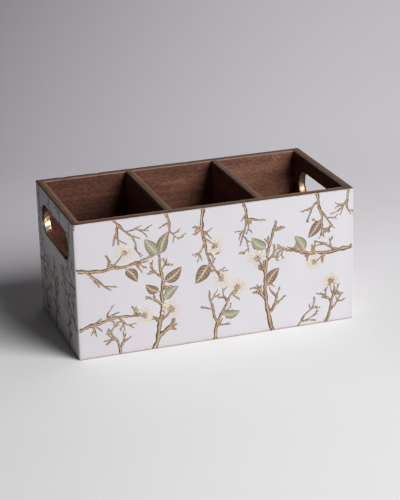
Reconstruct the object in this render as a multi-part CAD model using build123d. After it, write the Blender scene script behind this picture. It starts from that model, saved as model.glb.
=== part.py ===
from build123d import *
import os

# Three-compartment cutlery holder: a lapped and pinned wooden box, open above, with two
# housed dividers, a hand hole in each end and a printed sheet on each outside face.
# Millimetres. X runs along the length, Y from front to back and Z up. The origin is on the
# table, under the middle of the box.

# Overall size, over the printed sheets
length = 254.0
depth = 131.5
height = 123.0

# Thickness of each kind of board, and of the sheets
wall_board = 7.0
divider_board = 7.2
base_board = 5.0
sheet = 0.4

# Joints between the boards
divider_count = 2
corner_lap = 3.5
base_lap = 3.5
housing_depth = 2.5
glue_gap = 0.05
base_recess = 0.5

# Edges
board_corner_radius = 1.0
rim_easing = 0.8
sheet_lift = 0.4

# Hand holes
hole_width = 94.0
hole_height = 27.5
hole_below_rim = 14.0
hole_easing = 0.7

# Headless brads of flat wire
brad_width = 1.25
brad_thickness = 1.0
brad_length = 15.0
brad_point = 1.5
brads_per_corner = 3
brads_per_divider_end = 3
base_brads_per_side = 4
base_brads_per_end = 2
corner_brad_margin = 8.0
divider_brad_margin = 20.0
base_brad_margin = 24.0

# How far a cut runs past the surface that it opens
overrun = 1.0

# Planes that the pieces share
core_length = length - 2 * sheet
core_depth = depth - 2 * sheet
inner_length = core_length - 2 * wall_board
inner_depth = core_depth - 2 * wall_board
outer_radius = board_corner_radius + sheet
base_top = base_recess + base_board
hole_middle = height - hole_below_rim - hole_height / 2

# Middles of the dividers, which leave equal compartments
compartment = (inner_length - divider_count * divider_board) / (divider_count + 1)
first_divider = -inner_length / 2 + compartment + divider_board / 2
divider_places = [first_divider + n * (compartment + divider_board) for n in range(divider_count)]


def span_box(x, y, z):
    """A box between the two values given for each of X, Y and Z, in either order."""
    spans = [sorted(pair) for pair in (x, y, z)]
    size = [high - low for low, high in spans]
    middle = [(high + low) / 2 for low, high in spans]
    return Pos(*middle) * Box(*size)


def spread(low, high, count):
    """Evenly spaced places from low to high, or the middle for one."""
    if count == 1:
        return [(low + high) / 2]
    return [low + (high - low) * n / (count - 1) for n in range(count)]


def envelope():
    """The whole box as a block with rounded corners and an eased upper edge."""
    block = extrude(RectangleRounded(length, depth, outer_radius), height)
    top = block.faces().sort_by(Axis.Z)[-1]
    return fillet(top.edges(), rim_easing)


def core():
    """The block under the sheets, which the outer faces of the boards keep to."""
    return extrude(RectangleRounded(core_length, core_depth, board_corner_radius), height)


# Boards and sheets are cut from one outline, so that their edges run on from each other
outside = envelope()
board_block = outside & core()


def hand_hole(x_low, x_high):
    """The slot through an end, between two places along X."""
    outline = Plane.YZ * SlotOverall(hole_width, hole_height)
    return Pos(x_low, 0, hole_middle) * extrude(outline, x_high - x_low)


def eased_section(low, high, bottom, eased_sides):
    """A board seen end on, up to the rim, with the named upper corners rounded."""
    middle = Pos((low + high) / 2, (bottom + height) / 2)
    face = middle * Rectangle(high - low, height - bottom)
    upper = face.vertices().group_by(Axis.Y)[-1].sort_by(Axis.X)
    corners = {"low": upper[0], "high": upper[-1]}
    return fillet([corners[side] for side in eased_sides], rim_easing)


# Where brads are driven: middles of the boards that they enter, and rows with even steps
end_board_middle = (core_length - wall_board) / 2
base_middle = base_recess + base_board / 2
corner_rows = spread(base_top + corner_brad_margin, height - corner_brad_margin, brads_per_corner)
divider_rows = spread(
    base_top + divider_brad_margin, height - divider_brad_margin, brads_per_divider_end
)
base_side_reach = inner_length / 2 - base_brad_margin
base_side_row = spread(-base_side_reach, base_side_reach, base_brads_per_side)
base_end_reach = inner_depth / 2 - base_brad_margin
base_end_row = spread(-base_end_reach, base_end_reach, base_brads_per_end)


def through_long_walls(x_places, z_places):
    """Starts and directions of brads driven inward through the front and back boards."""
    return [
        ((x, -inward * core_depth / 2, z), (0, inward, 0))
        for inward in (1, -1)
        for x in x_places
        for z in z_places
    ]


def through_ends(y_places, z_places):
    """Starts and directions of brads driven inward through the end boards."""
    return [
        ((-inward * core_length / 2, y, z), (inward, 0, 0))
        for inward in (1, -1)
        for y in y_places
        for z in z_places
    ]


def brad():
    """A brad whose cut end lies at the origin, driven along Z: flat wire with a chisel point."""
    half = brad_thickness / 2
    shank = brad_length - brad_point
    corners = [(-half, 0), (half, 0), (half, shank), (0, brad_length), (-half, shank)]
    side = Plane.XZ * make_face(Polyline(*corners, close=True))
    return Pos(0, brad_width / 2, 0) * extrude(side, brad_width)


def driven(places):
    """A brad at each place, with its thin side upright."""
    wire = brad()
    return [Plane(origin=start, x_dir=(0, 0, 1), z_dir=way) * wire for start, way in places]


corner_brads = driven(through_long_walls((-end_board_middle, end_board_middle), corner_rows))
divider_brads = driven(through_long_walls(divider_places, divider_rows))
base_brads = driven(
    through_long_walls(base_side_row, [base_middle]) + through_ends(base_end_row, [base_middle])
)


def long_panel():
    """The front board: rebated at both ends and along the base, and housed for the dividers."""
    inner_face = -inner_depth / 2
    section = Plane.YZ * eased_section(-core_depth / 2, inner_face, 0, ["high"])
    board = Pos(-core_length / 2, 0, 0) * extrude(section, core_length) & board_block
    full_height = (-overrun, height + overrun)

    end_rebate = (inner_face - corner_lap, inner_face + overrun)
    for side in (-1, 1):
        past_end = side * (core_length / 2 + overrun)
        board -= span_box((side * inner_length / 2, past_end), end_rebate, full_height)

    base_rebate = (inner_face - base_lap, inner_face + overrun)
    board -= span_box((-inner_length / 2, inner_length / 2), base_rebate, (-overrun, base_top))

    housing = (inner_face - housing_depth, inner_face + overrun)
    half = divider_board / 2 + glue_gap
    for x in divider_places:
        board -= span_box((x - half, x + half), housing, (base_top, height + overrun))
    return board


def cross_board(low, high, bottom, eased_sides, joint_depth):
    """A board across the box, eased between the long walls and plain where it enters them."""
    section = Plane.XZ * eased_section(low, high, bottom, eased_sides)
    board = Pos(0, inner_depth / 2, 0) * extrude(section, inner_depth)
    for side in (-1, 1):
        entered = (side * inner_depth / 2, side * (inner_depth / 2 + joint_depth - glue_gap))
        board += span_box((low, high), entered, (bottom, height))
    return board


def end_panel():
    """The left board: lapped behind the long boards, rebated along the base, with its hole."""
    outer_face = -core_length / 2
    inner_face = -inner_length / 2
    board = cross_board(outer_face, inner_face, 0, ["high"], corner_lap) & board_block

    base_rebate = (inner_face - base_lap, inner_face + overrun)
    board -= span_box(base_rebate, (-core_depth / 2, core_depth / 2), (-overrun, base_top))

    board -= hand_hole(outer_face - overrun, inner_face + overrun)
    inside = board.faces().filter_by(Plane.YZ).sort_by(Axis.X)[-1]
    return fillet(inside.inner_wires()[0].edges(), hole_easing)


def base_panel():
    """The floor, which fills the rebates of the walls a little above their lower edges."""
    reach_x = inner_length / 2 + base_lap - glue_gap
    reach_y = inner_depth / 2 + base_lap - glue_gap
    return span_box((-reach_x, reach_x), (-reach_y, reach_y), (base_recess, base_top))


def divider(x):
    """A cross board that stands on the floor, with a tongue in the housing of each long wall."""
    half = divider_board / 2
    return cross_board(x - half, x + half, base_top, ["low", "high"], housing_depth)


def sheets_in_one():
    """What lies between the outline and the boards, above the trimmed lower edge."""
    trimmed = span_box((-length, length), (-depth, depth), (-overrun, sheet_lift))
    return outside - core() - trimmed


def long_sheet():
    """The front sheet, turned round both front corners."""
    seam = -depth / 2 + outer_radius
    return sheets_in_one() & span_box((-length, length), (-depth, seam), (0, height))


def end_sheet():
    """The left sheet, between the turned edges of the long ones, cut out at the hand hole."""
    seam = depth / 2 - outer_radius
    left = sheets_in_one() & span_box((-length, -inner_length / 2), (-seam, seam), (0, height))
    return left - hand_hole(-length / 2 - overrun, -inner_length / 2)


# Each board is cut by the brads that enter it, so that the wood closes round them
front = long_panel() - corner_brads - divider_brads - base_brads
left = end_panel() - corner_brads - base_brads
front_sheet = long_sheet()
left_sheet = end_sheet()

nodes = {
    "front_panel": front,
    "back_panel": mirror(front, Plane.XZ),
    "left_end_panel": left,
    "right_end_panel": mirror(left, Plane.YZ),
    "base_panel": base_panel() - base_brads,
    "front_print_sheet": front_sheet,
    "back_print_sheet": mirror(front_sheet, Plane.XZ),
    "left_print_sheet": left_sheet,
    "right_print_sheet": mirror(left_sheet, Plane.YZ),
    "corner_brads": Compound(children=corner_brads),
    "divider_brads": Compound(children=divider_brads),
    "base_brads": Compound(children=base_brads),
}
for number, place in enumerate(divider_places, start=1):
    nodes[f"divider_{number}"] = divider(place) - divider_brads

os.makedirs("parts", exist_ok=True)
for name, shape in nodes.items():
    shape.label = name
    export_step(shape, f"parts/{name}.step")
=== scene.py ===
"""A wooden cutlery holder with three compartments and a printed white outside, in a small studio."""

import logging
import math
from dataclasses import dataclass, field
from enum import Enum
from typing import Iterator, Optional, Sequence, Union

import bmesh
import bpy
import numpy as np
from mathutils import Matrix, Vector


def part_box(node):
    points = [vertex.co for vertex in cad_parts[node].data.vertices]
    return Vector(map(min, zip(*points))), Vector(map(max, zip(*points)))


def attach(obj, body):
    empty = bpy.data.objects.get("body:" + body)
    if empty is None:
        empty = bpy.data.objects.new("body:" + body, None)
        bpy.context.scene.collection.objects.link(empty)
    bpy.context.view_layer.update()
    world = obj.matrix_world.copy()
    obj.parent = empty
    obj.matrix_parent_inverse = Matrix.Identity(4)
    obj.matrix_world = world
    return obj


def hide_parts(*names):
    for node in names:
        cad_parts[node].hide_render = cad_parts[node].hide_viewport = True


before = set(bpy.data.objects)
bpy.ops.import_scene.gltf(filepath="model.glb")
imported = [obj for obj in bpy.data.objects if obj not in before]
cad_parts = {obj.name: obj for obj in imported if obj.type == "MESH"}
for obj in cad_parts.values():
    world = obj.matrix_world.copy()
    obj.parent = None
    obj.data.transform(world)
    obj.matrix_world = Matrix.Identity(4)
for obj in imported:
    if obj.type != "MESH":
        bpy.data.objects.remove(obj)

Array = np.ndarray
Number = Union[float, Array]
Pair = tuple[float, float]
Triple = tuple[float, float, float]
Colour = Triple
Material = bpy.types.Material
Value = Union["Signal", float, tuple]

BODY = "root"
log = logging.getLogger("cutlery_holder")


class GrainAxis(Enum):
    """The axis that a board's grain runs along."""

    ALONG_X = 0
    ALONG_Y = 1


class Side(Enum):
    """An outside face of the box, by the word that starts its nodes' names."""

    FRONT = "front"
    BACK = "back"
    LEFT = "left"
    RIGHT = "right"

    @property
    def sign(self) -> float:
        """The sign of the way that the face looks, along X or Y."""
        return -1.0 if self in (Side.FRONT, Side.LEFT) else 1.0


class Growth(Enum):
    """What ends a twig of the print."""

    BARE = 0
    BUDS = 1
    UMBEL = 2
    LEAF_PAIR = 3


def ripple(at: Number, seed: int, longest: float, shortest: float, waves: int = 9) -> Array:
    """An uneven line: the sum of cosine waves with seeded lengths and phases, lower where shorter.

    Args:
        at: Places along the line, in metres.
        seed: Seed of the lengths and phases.
        longest: Length of the longest wave.
        shortest: Length of the shortest wave.
        waves: Number of waves.

    Returns:
        Heights between about -1 and 1, one for each place.
    """
    rng = np.random.default_rng(seed)
    lengths = np.geomspace(longest, shortest, waves) * rng.uniform(0.85, 1.15, waves)
    phases = rng.uniform(0.0, 2.0 * np.pi, waves)
    weights = np.sqrt(lengths / longest)
    total = (weights * np.cos(2.0 * np.pi * np.asarray(at)[..., None] / lengths + phases)).sum(-1)
    return total / np.sqrt((weights**2).sum())


def toward(angle: float) -> Array:
    """The direction at an angle in a plane."""
    return np.array([math.cos(angle), math.sin(angle)])


def joined(*parts: Number) -> Array:
    """Coordinates that are spread to one shape and put together on a new last axis."""
    return np.stack(np.broadcast_arrays(*parts), -1)


def left_of(paths: Array) -> Array:
    """Which way lies to the left of each point of some paths.

    It is the gradient along the path, divided by its length and turned by a right angle.

    Args:
        paths: Paths by points by 2.

    Returns:
        Directions of the same shape.
    """
    way = np.gradient(paths, axis=1)
    way /= np.maximum(np.linalg.norm(way, axis=-1, keepdims=True), 1e-12)
    return joined(-way[..., 1], way[..., 0])


def quarter_arc(centre: Pair, radius: float, start: float, count: int = 5) -> Array:
    """A quarter circle anticlockwise from start degrees: centre plus radius times cosine and sine."""
    angle = np.radians(np.linspace(start, start + 90.0, count))
    return joined(centre[0] + radius * np.cos(angle), centre[1] + radius * np.sin(angle))


def profile(line: Sequence[tuple[Number, Number]], stations: int) -> Array:
    """A profile's points, stations by points by 2; a measure is one number or one for each station."""
    return np.stack([np.stack([np.broadcast_to(part, stations) for part in pair], -1) for pair in line], 1)


def eased_top(low: Number, low_easing: Number, high: Number, high_easing: Number, level: Array) -> list:
    """A board's upper edge in profile: level, with a quarter circle down at either side.

    Args:
        low: Place of the side where the profile rises.
        low_easing: Radius there.
        high: Place of the side where it falls.
        high_easing: Radius there.
        level: Height of the edge.

    Returns:
        Pairs of place and height.
    """
    rise, fall = quarter_arc((1.0, -1.0), 1.0, 90.0)[::-1], quarter_arc((-1.0, -1.0), 1.0, 0.0)[::-1]
    return ([(low + low_easing * a, level + low_easing * b) for a, b in rise]
            + [(high + high_easing * a, level + high_easing * b) for a, b in fall])


def skin(outer: Array, depth: float) -> Array:
    """Closes a seen profile: its copy, moved by the depth to the right of its way, runs back."""
    return np.concatenate([outer, (outer - depth * left_of(outer))[:, ::-1]], 1)


def flat_map(rows: Array, columns: Union[Array, int]) -> Array:
    """A map whose places are the row's value and the column's value.

    Args:
        rows: One value for each row.
        columns: One value for each column, or their number, for even steps from 0 to 1.

    Returns:
        An array of rows by columns by 2.
    """
    if isinstance(columns, int):
        columns = np.linspace(0.0, 1.0, columns)
    return joined(rows[:, None], columns)


@dataclass(frozen=True)
class Measures:
    """Sizes of the box in metres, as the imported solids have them.

    The scene's own sheets lie a film's depth inside the solids, so that print and paint on them
    stay inside the solids' box. A dent of the rim is its place, depth and reach.
    """

    half_length: float
    half_depth: float
    wall: float
    top: float
    base_top: float
    lap: float
    housing: float
    divider_half: float
    divider_places: tuple[float, ...]
    sheet_half_length: float
    sheet_half_depth: float
    film: float = 0.0001
    corner_radius: float = 0.0014
    easing: float = 0.0008
    hole_easing: float = 0.0007
    coat: float = 0.00006
    sheet_bottom: float = 0.0004
    rim_dents: tuple[tuple[float, ...], ...] = (
        (-0.1010, 0.0640, 0.00038, 0.0040), (-0.0710, 0.0640, 0.00030, 0.0030),
        (0.0160, 0.0645, 0.00030, 0.0035), (-0.0540, -0.0650, 0.00018, 0.0028),
        (0.0730, -0.0652, 0.00022, 0.0032), (0.1262, 0.0150, 0.00018, 0.0036))

    @classmethod
    def from_frame(cls) -> "Measures":
        """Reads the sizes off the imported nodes.

        Returns:
            The measures of this box.
        """
        end_low, end_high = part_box("left_end_panel")
        front_low, front_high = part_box("front_panel")
        _, base_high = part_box("base_panel")
        sheet_low, sheet_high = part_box("front_print_sheet")
        names = [name for name in sorted(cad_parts) if name.startswith("divider_")]
        dividers = [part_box(name) for name in names if not name.endswith("brads")]
        wall = end_high.x - end_low.x
        low, high = dividers[0]
        return cls(
            half_length=-end_low.x,
            half_depth=-front_low.y,
            wall=wall,
            top=front_high.z,
            base_top=base_high.z,
            lap=base_high.x - (-end_low.x - wall),
            housing=high.y - (-front_low.y - wall),
            divider_half=(high.x - low.x) / 2.0,
            divider_places=tuple((lo.x + hi.x) / 2.0 for lo, hi in dividers),
            sheet_half_length=sheet_high.x,
            sheet_half_depth=-sheet_low.y,
        )

    @property
    def inner_x(self) -> float:
        """Half the inside length."""
        return self.half_length - self.wall

    @property
    def inner_y(self) -> float:
        """Half the inside depth."""
        return self.half_depth - self.wall

    @property
    def outline_x(self) -> float:
        """Half the length over the scene's sheets."""
        return self.sheet_half_length - self.film

    @property
    def outline_y(self) -> float:
        """Half the depth over the scene's sheets."""
        return self.sheet_half_depth - self.film

    @property
    def bend(self) -> float:
        """Radius of the boards' corners, under the sheets."""
        return self.corner_radius - (self.sheet_half_length - self.half_length)

    def rim_level(self, x: Number, y: Number) -> Array:
        """Height of the wood's upper edge: just under the top, less slow waves and a few shallow dents.

        Args:
            x: Places along X.
            y: Places along Y.

        Returns:
            Heights in metres.
        """
        x, y = np.broadcast_arrays(np.asarray(x, float), np.asarray(y, float))
        waves = 0.5 * ripple(x, 11, 0.11, 0.016) + 0.5 * ripple(y, 12, 0.09, 0.014)
        dents = np.zeros(x.shape)
        for at_x, at_y, depth, reach in self.rim_dents:
            dents += depth * np.exp(-((x - at_x) ** 2 + (y - at_y) ** 2) / reach**2)
        return self.top - 0.00015 - 0.00004 * (1.0 + waves) - dents


@dataclass
class Surface:
    """Copies of a grid of points, and where each point lies on the material's own map.

    Attributes:
        points: Places, as copies by rows by columns by 3.
        uv: Map places, with one row or column more where the grid joins up in a ring.
        ring_rows: Whether the last row joins the first.
        ring_columns: Whether the last column joins the first.
        caps: Whether the first and last rows are closed by a face.
        tone: One value for each copy, which its material may read.
    """

    points: Array
    uv: Array
    ring_rows: bool = False
    ring_columns: bool = False
    caps: bool = False
    tone: Optional[Array] = None

    def __post_init__(self) -> None:
        """Gives a single grid its place as the only copy, and a tone to each copy."""
        if self.points.ndim == 3:
            self.points = self.points[None]
        if self.uv.ndim == 3:
            self.uv = np.broadcast_to(self.uv, (len(self.points),) + self.uv.shape)
        if self.tone is None:
            self.tone = np.zeros(len(self.points))

    def quads(self) -> tuple[Array, Array]:
        """Joins each point to its next ones along the row and the column.

        Returns:
            The corners of each face, and the map place of each corner.
        """
        copies, rows, columns = self.points.shape[:3]
        row = np.arange(rows - (not self.ring_rows))[:, None]
        column = np.arange(columns - (not self.ring_columns))[None, :]
        corner_rows = np.stack([row + a + 0 * column for a in (0, 1, 1, 0)], -1)
        corner_columns = np.stack([column + a + 0 * row for a in (0, 0, 1, 1)], -1)
        one = (corner_rows % rows) * columns + corner_columns % columns
        faces = one[None] + (np.arange(copies) * rows * columns)[:, None, None, None]
        uv = self.uv[:, corner_rows, corner_columns]
        return faces.reshape(-1, 4), uv.reshape(-1, 4, 2)

    def end_faces(self) -> tuple[list[list[int]], list[Array]]:
        """Faces over the first and last rows.

        Returns:
            The corners of each face, and their map places.
        """
        if not self.caps:
            return [], []
        copies, rows, columns = self.points.shape[:3]
        first = np.arange(copies)[:, None] * rows * columns + np.arange(columns)[None, :]
        last = first + (rows - 1) * columns
        ends = self.uv[:, :, :columns]
        return first[:, ::-1].tolist() + last.tolist(), [*ends[:, 0, ::-1], *ends[:, -1]]


def smooth_object(name: str, points: Array, faces: list, uv: Array, material: Material) -> bpy.types.Object:
    """Puts a smooth mesh with a map and a material in the scene.

    Args:
        name: Name of the object and its mesh.
        points: Places, as count by 3.
        faces: The corners of each face.
        uv: The map place of each corner.
        material: The material.

    Returns:
        The object, at the origin.
    """
    mesh = bpy.data.meshes.new(name)
    mesh.from_pydata(points.tolist(), [], faces)
    mesh.uv_layers.new(name="UVMap").data.foreach_set("uv", uv.ravel())
    mesh.polygons.foreach_set("use_smooth", np.full(len(mesh.polygons), True))
    mesh.materials.append(material)
    made = bpy.data.objects.new(name, mesh)
    bpy.context.scene.collection.objects.link(made)
    return made


@dataclass
class Piece:
    """One visible piece: its grids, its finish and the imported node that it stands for."""

    name: str
    surfaces: list[Surface]
    material: Material
    slot: str
    replaces: str = ""
    crease_angle: float = 32.0

    def build(self) -> None:
        """Makes the mesh, closes its seams, turns its faces outward and rides it on the box."""
        points, faces, corners, offset = [], [], [], 0
        for surface in self.surfaces:
            quads, quad_uv = surface.quads()
            ends, end_uv = surface.end_faces()
            faces += (quads + offset).tolist() + [[v + offset for v in end] for end in ends]
            corners += [quad_uv.reshape(-1, 2), *end_uv]
            points.append(surface.points.reshape(-1, 3))
            offset += len(points[-1])
        tones = [np.repeat(s.tone, math.prod(s.points.shape[1:3])) for s in self.surfaces]
        points, corners = np.concatenate(points), np.concatenate(corners)
        piece = smooth_object(self.name, points, faces, corners, self.material)
        mesh = piece.data
        mesh.attributes.new("tone", "FLOAT", "POINT").data.foreach_set("value", np.concatenate(tones))
        self._close(mesh)
        mesh.set_sharp_from_angle(angle=math.radians(self.crease_angle))
        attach(piece, BODY)
        if self.replaces:
            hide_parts(self.replaces)
        log.info("%s: %d faces", self.name, len(mesh.polygons))

    @staticmethod
    def _close(mesh: bpy.types.Mesh) -> None:
        """Merges points that coincide and turns the faces outward.

        Args:
            mesh: The mesh that is mended.
        """
        work = bmesh.new()
        work.from_mesh(mesh)
        bmesh.ops.remove_doubles(work, verts=work.verts, dist=3e-7)
        bmesh.ops.recalc_face_normals(work, faces=work.faces)
        work.to_mesh(mesh)
        work.free()
        mesh.update()


@dataclass
class Signal:
    """A value, vector or colour inside a material, which further nodes are made from."""

    nodes: "Nodes"
    socket: bpy.types.NodeSocket

    def __add__(self, other: Value) -> "Signal":
        """The sum."""
        return self.nodes.math("ADD", self, other)

    def __sub__(self, other: Value) -> "Signal":
        """The difference."""
        return self.nodes.math("SUBTRACT", self, other)

    def __rsub__(self, other: float) -> "Signal":
        """What is left of a number."""
        return self.nodes.math("SUBTRACT", other, self)

    def __mul__(self, other: Value) -> "Signal":
        """The product."""
        return self.nodes.math("MULTIPLY", self, other)

    def __truediv__(self, other: Value) -> "Signal":
        """The quotient."""
        return self.nodes.math("DIVIDE", self, other)

    def __pow__(self, other: float) -> "Signal":
        """The power."""
        return self.nodes.math("POWER", self, other)

    def __abs__(self) -> "Signal":
        """The value without its sign."""
        return self.nodes.math("ABSOLUTE", self)

    def clamped(self) -> "Signal":
        """Holds this sum from 0 to 1."""
        self.socket.node.use_clamp = True
        return self

    def parts(self) -> list["Signal"]:
        """The three parts of a vector."""
        split = self.nodes.add("ShaderNodeSeparateXYZ", {0: self})
        return [Signal(self.nodes, part) for part in split.outputs]

    def stretched(self, size: Triple, shift: Triple = (0.0, 0.0, 0.0)) -> "Signal":
        """Places divided by a pattern's size along each axis, and shifted by parts of the pattern."""
        inputs = {"Vector": self, "Scale": tuple(1.0 / s for s in size), "Location": shift}
        return self.nodes.out("ShaderNodeMapping", "Vector", inputs)

    def noise(self, scale: float = 1.0, detail: float = 4.0, roughness: float = 0.55,
              distortion: float = 0.0) -> "Signal":
        """A cloudy pattern between 0 and 1 over these places.

        Args:
            scale: Clouds per unit of the places.
            detail: Number of finer layers.
            roughness: Strength of the finer layers.
            distortion: How far the pattern is pulled about.

        Returns:
            The pattern.
        """
        inputs = {"Vector": self, "Scale": scale, "Detail": detail, "Roughness": roughness,
                  "Distortion": distortion}
        return self.nodes.out("ShaderNodeTexNoise", "Fac", inputs)

    def between(self, low: float, high: float, to_low: float = 0.0, to_high: float = 1.0) -> "Signal":
        """Carries low to to_low and high to to_high, in a straight line that is held at both ends."""
        inputs = {"Value": self, "From Min": low, "From Max": high, "To Min": to_low, "To Max": to_high}
        return self.nodes.out("ShaderNodeMapRange", "Result", inputs)

    def ramp(self, *stops: tuple[float, Colour]) -> "Signal":
        """A colour for each value.

        Args:
            stops: Values from 0 to 1 and their colours, which are mixed between them.

        Returns:
            The colour.
        """
        node = self.nodes.add("ShaderNodeValToRGB", {"Fac": self})
        elements = node.color_ramp.elements
        while len(elements) < len(stops):
            elements.new(0.5)
        for element, (place, colour) in zip(elements, stops):
            element.position = place
            element.color = (*colour, 1.0)
        return Signal(self.nodes, node.outputs["Color"])

    def bump(self, distance: float, strength: float, under: Optional["Signal"] = None) -> "Signal":
        """Fine relief.

        Args:
            distance: How high 1 is, in metres.
            strength: Share of the relief that shows.
            under: Relief that this one lies on.

        Returns:
            The new normal.
        """
        inputs = {"Height": self, "Distance": distance, "Strength": strength}
        if under is not None:
            inputs["Normal"] = under
        return self.nodes.out("ShaderNodeBump", "Normal", inputs)


class Nodes:
    """A material that is made one node at a time."""

    def __init__(self, name: str) -> None:
        """Starts an empty material.

        Args:
            name: The material's name.
        """
        self.material = bpy.data.materials.new(name)
        self.material.use_nodes = True
        self.tree = self.material.node_tree
        self.tree.nodes.clear()

    def add(self, kind: str, inputs: Optional[dict] = None, **settings: object) -> bpy.types.Node:
        """Adds a node.

        Args:
            kind: The node's type.
            inputs: Socket names or numbers, each with a value or with the signal that feeds it.
            settings: The node's own settings.

        Returns:
            The node.
        """
        node = self.tree.nodes.new(kind)
        for key, value in settings.items():
            setattr(node, key, value)
        for key, value in (inputs or {}).items():
            if isinstance(value, Signal):
                self.tree.links.new(value.socket, node.inputs[key])
            elif node.inputs[key].type == "RGBA":
                node.inputs[key].default_value = (*value, 1.0)
            else:
                node.inputs[key].default_value = value
        return node

    def out(self, kind: str, output: Union[str, int], inputs: Optional[dict] = None,
            **settings: object) -> Signal:
        """Adds a node and gives one of its outputs."""
        return Signal(self, self.add(kind, inputs, **settings).outputs[output])

    def place(self) -> Signal:
        """The place on the piece, in metres."""
        return self.out("ShaderNodeTexCoord", "Object")

    def map_place(self) -> Signal:
        """The place on the piece's own map."""
        return self.out("ShaderNodeUVMap", "UV", uv_map="UVMap")

    def tone(self) -> Signal:
        """The value that each copy carries."""
        return self.out("ShaderNodeAttribute", "Fac", attribute_name="tone")

    def math(self, operation: str, *values: Value) -> Signal:
        """One sum of one or two values."""
        return self.out("ShaderNodeMath", 0, dict(enumerate(values)), operation=operation)

    def mix(self, amount: Value, first: Value, second: Value) -> Signal:
        """Two colours mixed, by the share of the second."""
        return self.out("ShaderNodeMix", 2, {0: amount, 6: first, 7: second}, data_type="RGBA")

    def surface(self, colour: Value, roughness: Value, relief: Optional[Signal] = None,
                specular: float = 0.5, coat: float = 0.0, metallic: Value = 0.0) -> Material:
        """Ends the material with its surface.

        Args:
            colour: Its colour.
            roughness: Its roughness.
            relief: Its normal.
            specular: Strength of its reflection.
            coat: Share of a clear coat.
            metallic: Share of bare metal.

        Returns:
            The material.
        """
        inputs = {"Base Color": colour, "Roughness": roughness, "Specular IOR Level": specular,
                  "Metallic": metallic}
        if relief is not None:
            inputs["Normal"] = relief
        if coat:
            inputs.update({"Coat Weight": coat, "Coat Roughness": 0.25})
        shader = self.out("ShaderNodeBsdfPrincipled", 0, inputs)
        self.add("ShaderNodeOutputMaterial", {"Surface": shader})
        return self.material


@dataclass(frozen=True)
class Finish:
    """The base of all finishes. Each mixes its own nodes."""

    def material(self, name: str) -> Material:
        """Makes the finish's material under a name."""
        return self.mixed(Nodes(name))


@dataclass(frozen=True)
class BareWood(Finish):
    """Open-grained reddish-brown board, lighter along its upper edge from sanding and from a painted
    highlight.

    Each pattern has a length along the grain and a width. The shift sets a board's own pattern,
    the rim is the height of its upper edge, and the pair of painted light and shade says how much
    darker the board is painted at its left end and lighter at its right, as the lamp lies to the
    right. A scratch is its two ends along X and Z.
    """

    grain: GrainAxis
    shift: float
    rim: float
    # painted light and shade: darker at the left end, lighter at the right
    painted_light_lean: Pair = (0.0, 0.0)
    scratches: tuple[tuple[Pair, Pair], ...] = ()
    dark: Colour = (0.054, 0.018, 0.011)
    middle: Colour = (0.128, 0.049, 0.031)
    light: Colour = (0.245, 0.112, 0.070)
    pore: Colour = (0.026, 0.009, 0.006)
    # sanding and a painted highlight along the upper edge
    sanded_and_lit: Colour = (0.36, 0.21, 0.16)
    scraped: Colour = (0.42, 0.27, 0.20)
    streak: Pair = (0.085, 0.0042)
    figure: Pair = (0.140, 0.022)
    mottle: Pair = (0.0034, 0.0017)
    pores: Pair = (0.0042, 0.00034)
    unevenness: Pair = (0.010, 0.0010)
    sanded_depth: float = 0.0010
    roughness: float = 0.60

    def mixed(self, nodes: Nodes) -> Material:
        """Clouds stretched along the grain for streaks, figure and mottle, with fine dark pores.

        Args:
            nodes: The new material's nodes.

        Returns:
            The material.
        """
        place = nodes.place()
        x, _, height = place.parts()
        figure = self.along(place, self.figure, 3.1).noise(1.0, 3.0, 0.5, 0.6)
        streaks = self.along(place, self.streak, 0.0).noise(1.0, 7.0, 0.62, 0.35)
        pores = self.along(place, self.pores, 7.7).noise(1.0, 2.0, 0.5)
        mottle = self.along(place, self.mottle, 5.3).noise(1.0, 6.0, 0.7, 0.8)
        # Painted light and shade: darker toward the left end, lighter toward the right, where the lamp is.
        painted_side_light = x.between(-0.085, 0.0, -self.painted_light_lean[0], 0.0) + x.between(0.0, 0.085, 0.0, self.painted_light_lean[1])
        both = figure * 0.31 + streaks * 0.28 + mottle * 0.46 + painted_side_light
        colour = both.ramp((0.38, self.dark), (0.50, self.middle), (0.62, self.light))
        pore_share = pores.between(0.57, 0.68)
        colour = nodes.mix(pore_share * streaks.between(0.35, 0.60, 0.25, 0.85), colour, self.pore)
        uneven = self.along(place, self.unevenness, 1.9).noise(1.0, 3.0)
        # Lighter along the upper edge: partly sanding, partly a painted highlight where the eased edge
        # catches the lamp.
        edge = (height + uneven * self.sanded_depth).between(self.rim - self.sanded_depth * 0.6,
                                                             self.rim - self.sanded_depth * 0.1)
        colour = nodes.mix(edge * 0.75, colour, self.sanded_and_lit)
        for start, end in self.scratches:
            colour = nodes.mix(self.scratch(x, height, start, end), colour, self.scraped)
        relief = (1.0 - pore_share).bump(0.00006, 0.7, streaks.bump(0.00012, 0.6))
        rough = streaks.between(0.3, 0.7, self.roughness - 0.08, self.roughness + 0.12)
        return nodes.surface(colour, rough, relief, specular=0.22)

    def along(self, place: Signal, size: Pair, offset: float) -> Signal:
        """Places stretched along the grain.

        Args:
            place: The places.
            size: The pattern's length along the grain and its width.
            offset: A shift that sets one pattern apart from another.

        Returns:
            The new places.
        """
        axes = [size[1]] * 3
        axes[self.grain.value] = size[0]
        return place.stretched(tuple(axes), (self.shift, self.shift * 0.7 + offset, self.shift * 1.3))

    @staticmethod
    def scratch(x: Signal, z: Signal, start: Pair, end: Pair) -> Signal:
        """How much of a spot is scratched: its distance from a line, between the line's ends.

        Args:
            x: Places along X.
            z: Places along Z.
            start: One end.
            end: The other end.

        Returns:
            From 0 to 0.45.
        """
        length = math.dist(start, end)
        half = length / 2.0
        way_x, way_z = (end[0] - start[0]) / length, (end[1] - start[1]) / length
        out_x, out_z = x - start[0], z - start[1]
        run = out_x * way_x + out_z * way_z
        off = out_x * way_z - out_z * way_x
        return abs(off).between(0.00050, 0.00015, 0.0, 0.45) * abs(run - half).between(half, half - 0.001)


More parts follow.
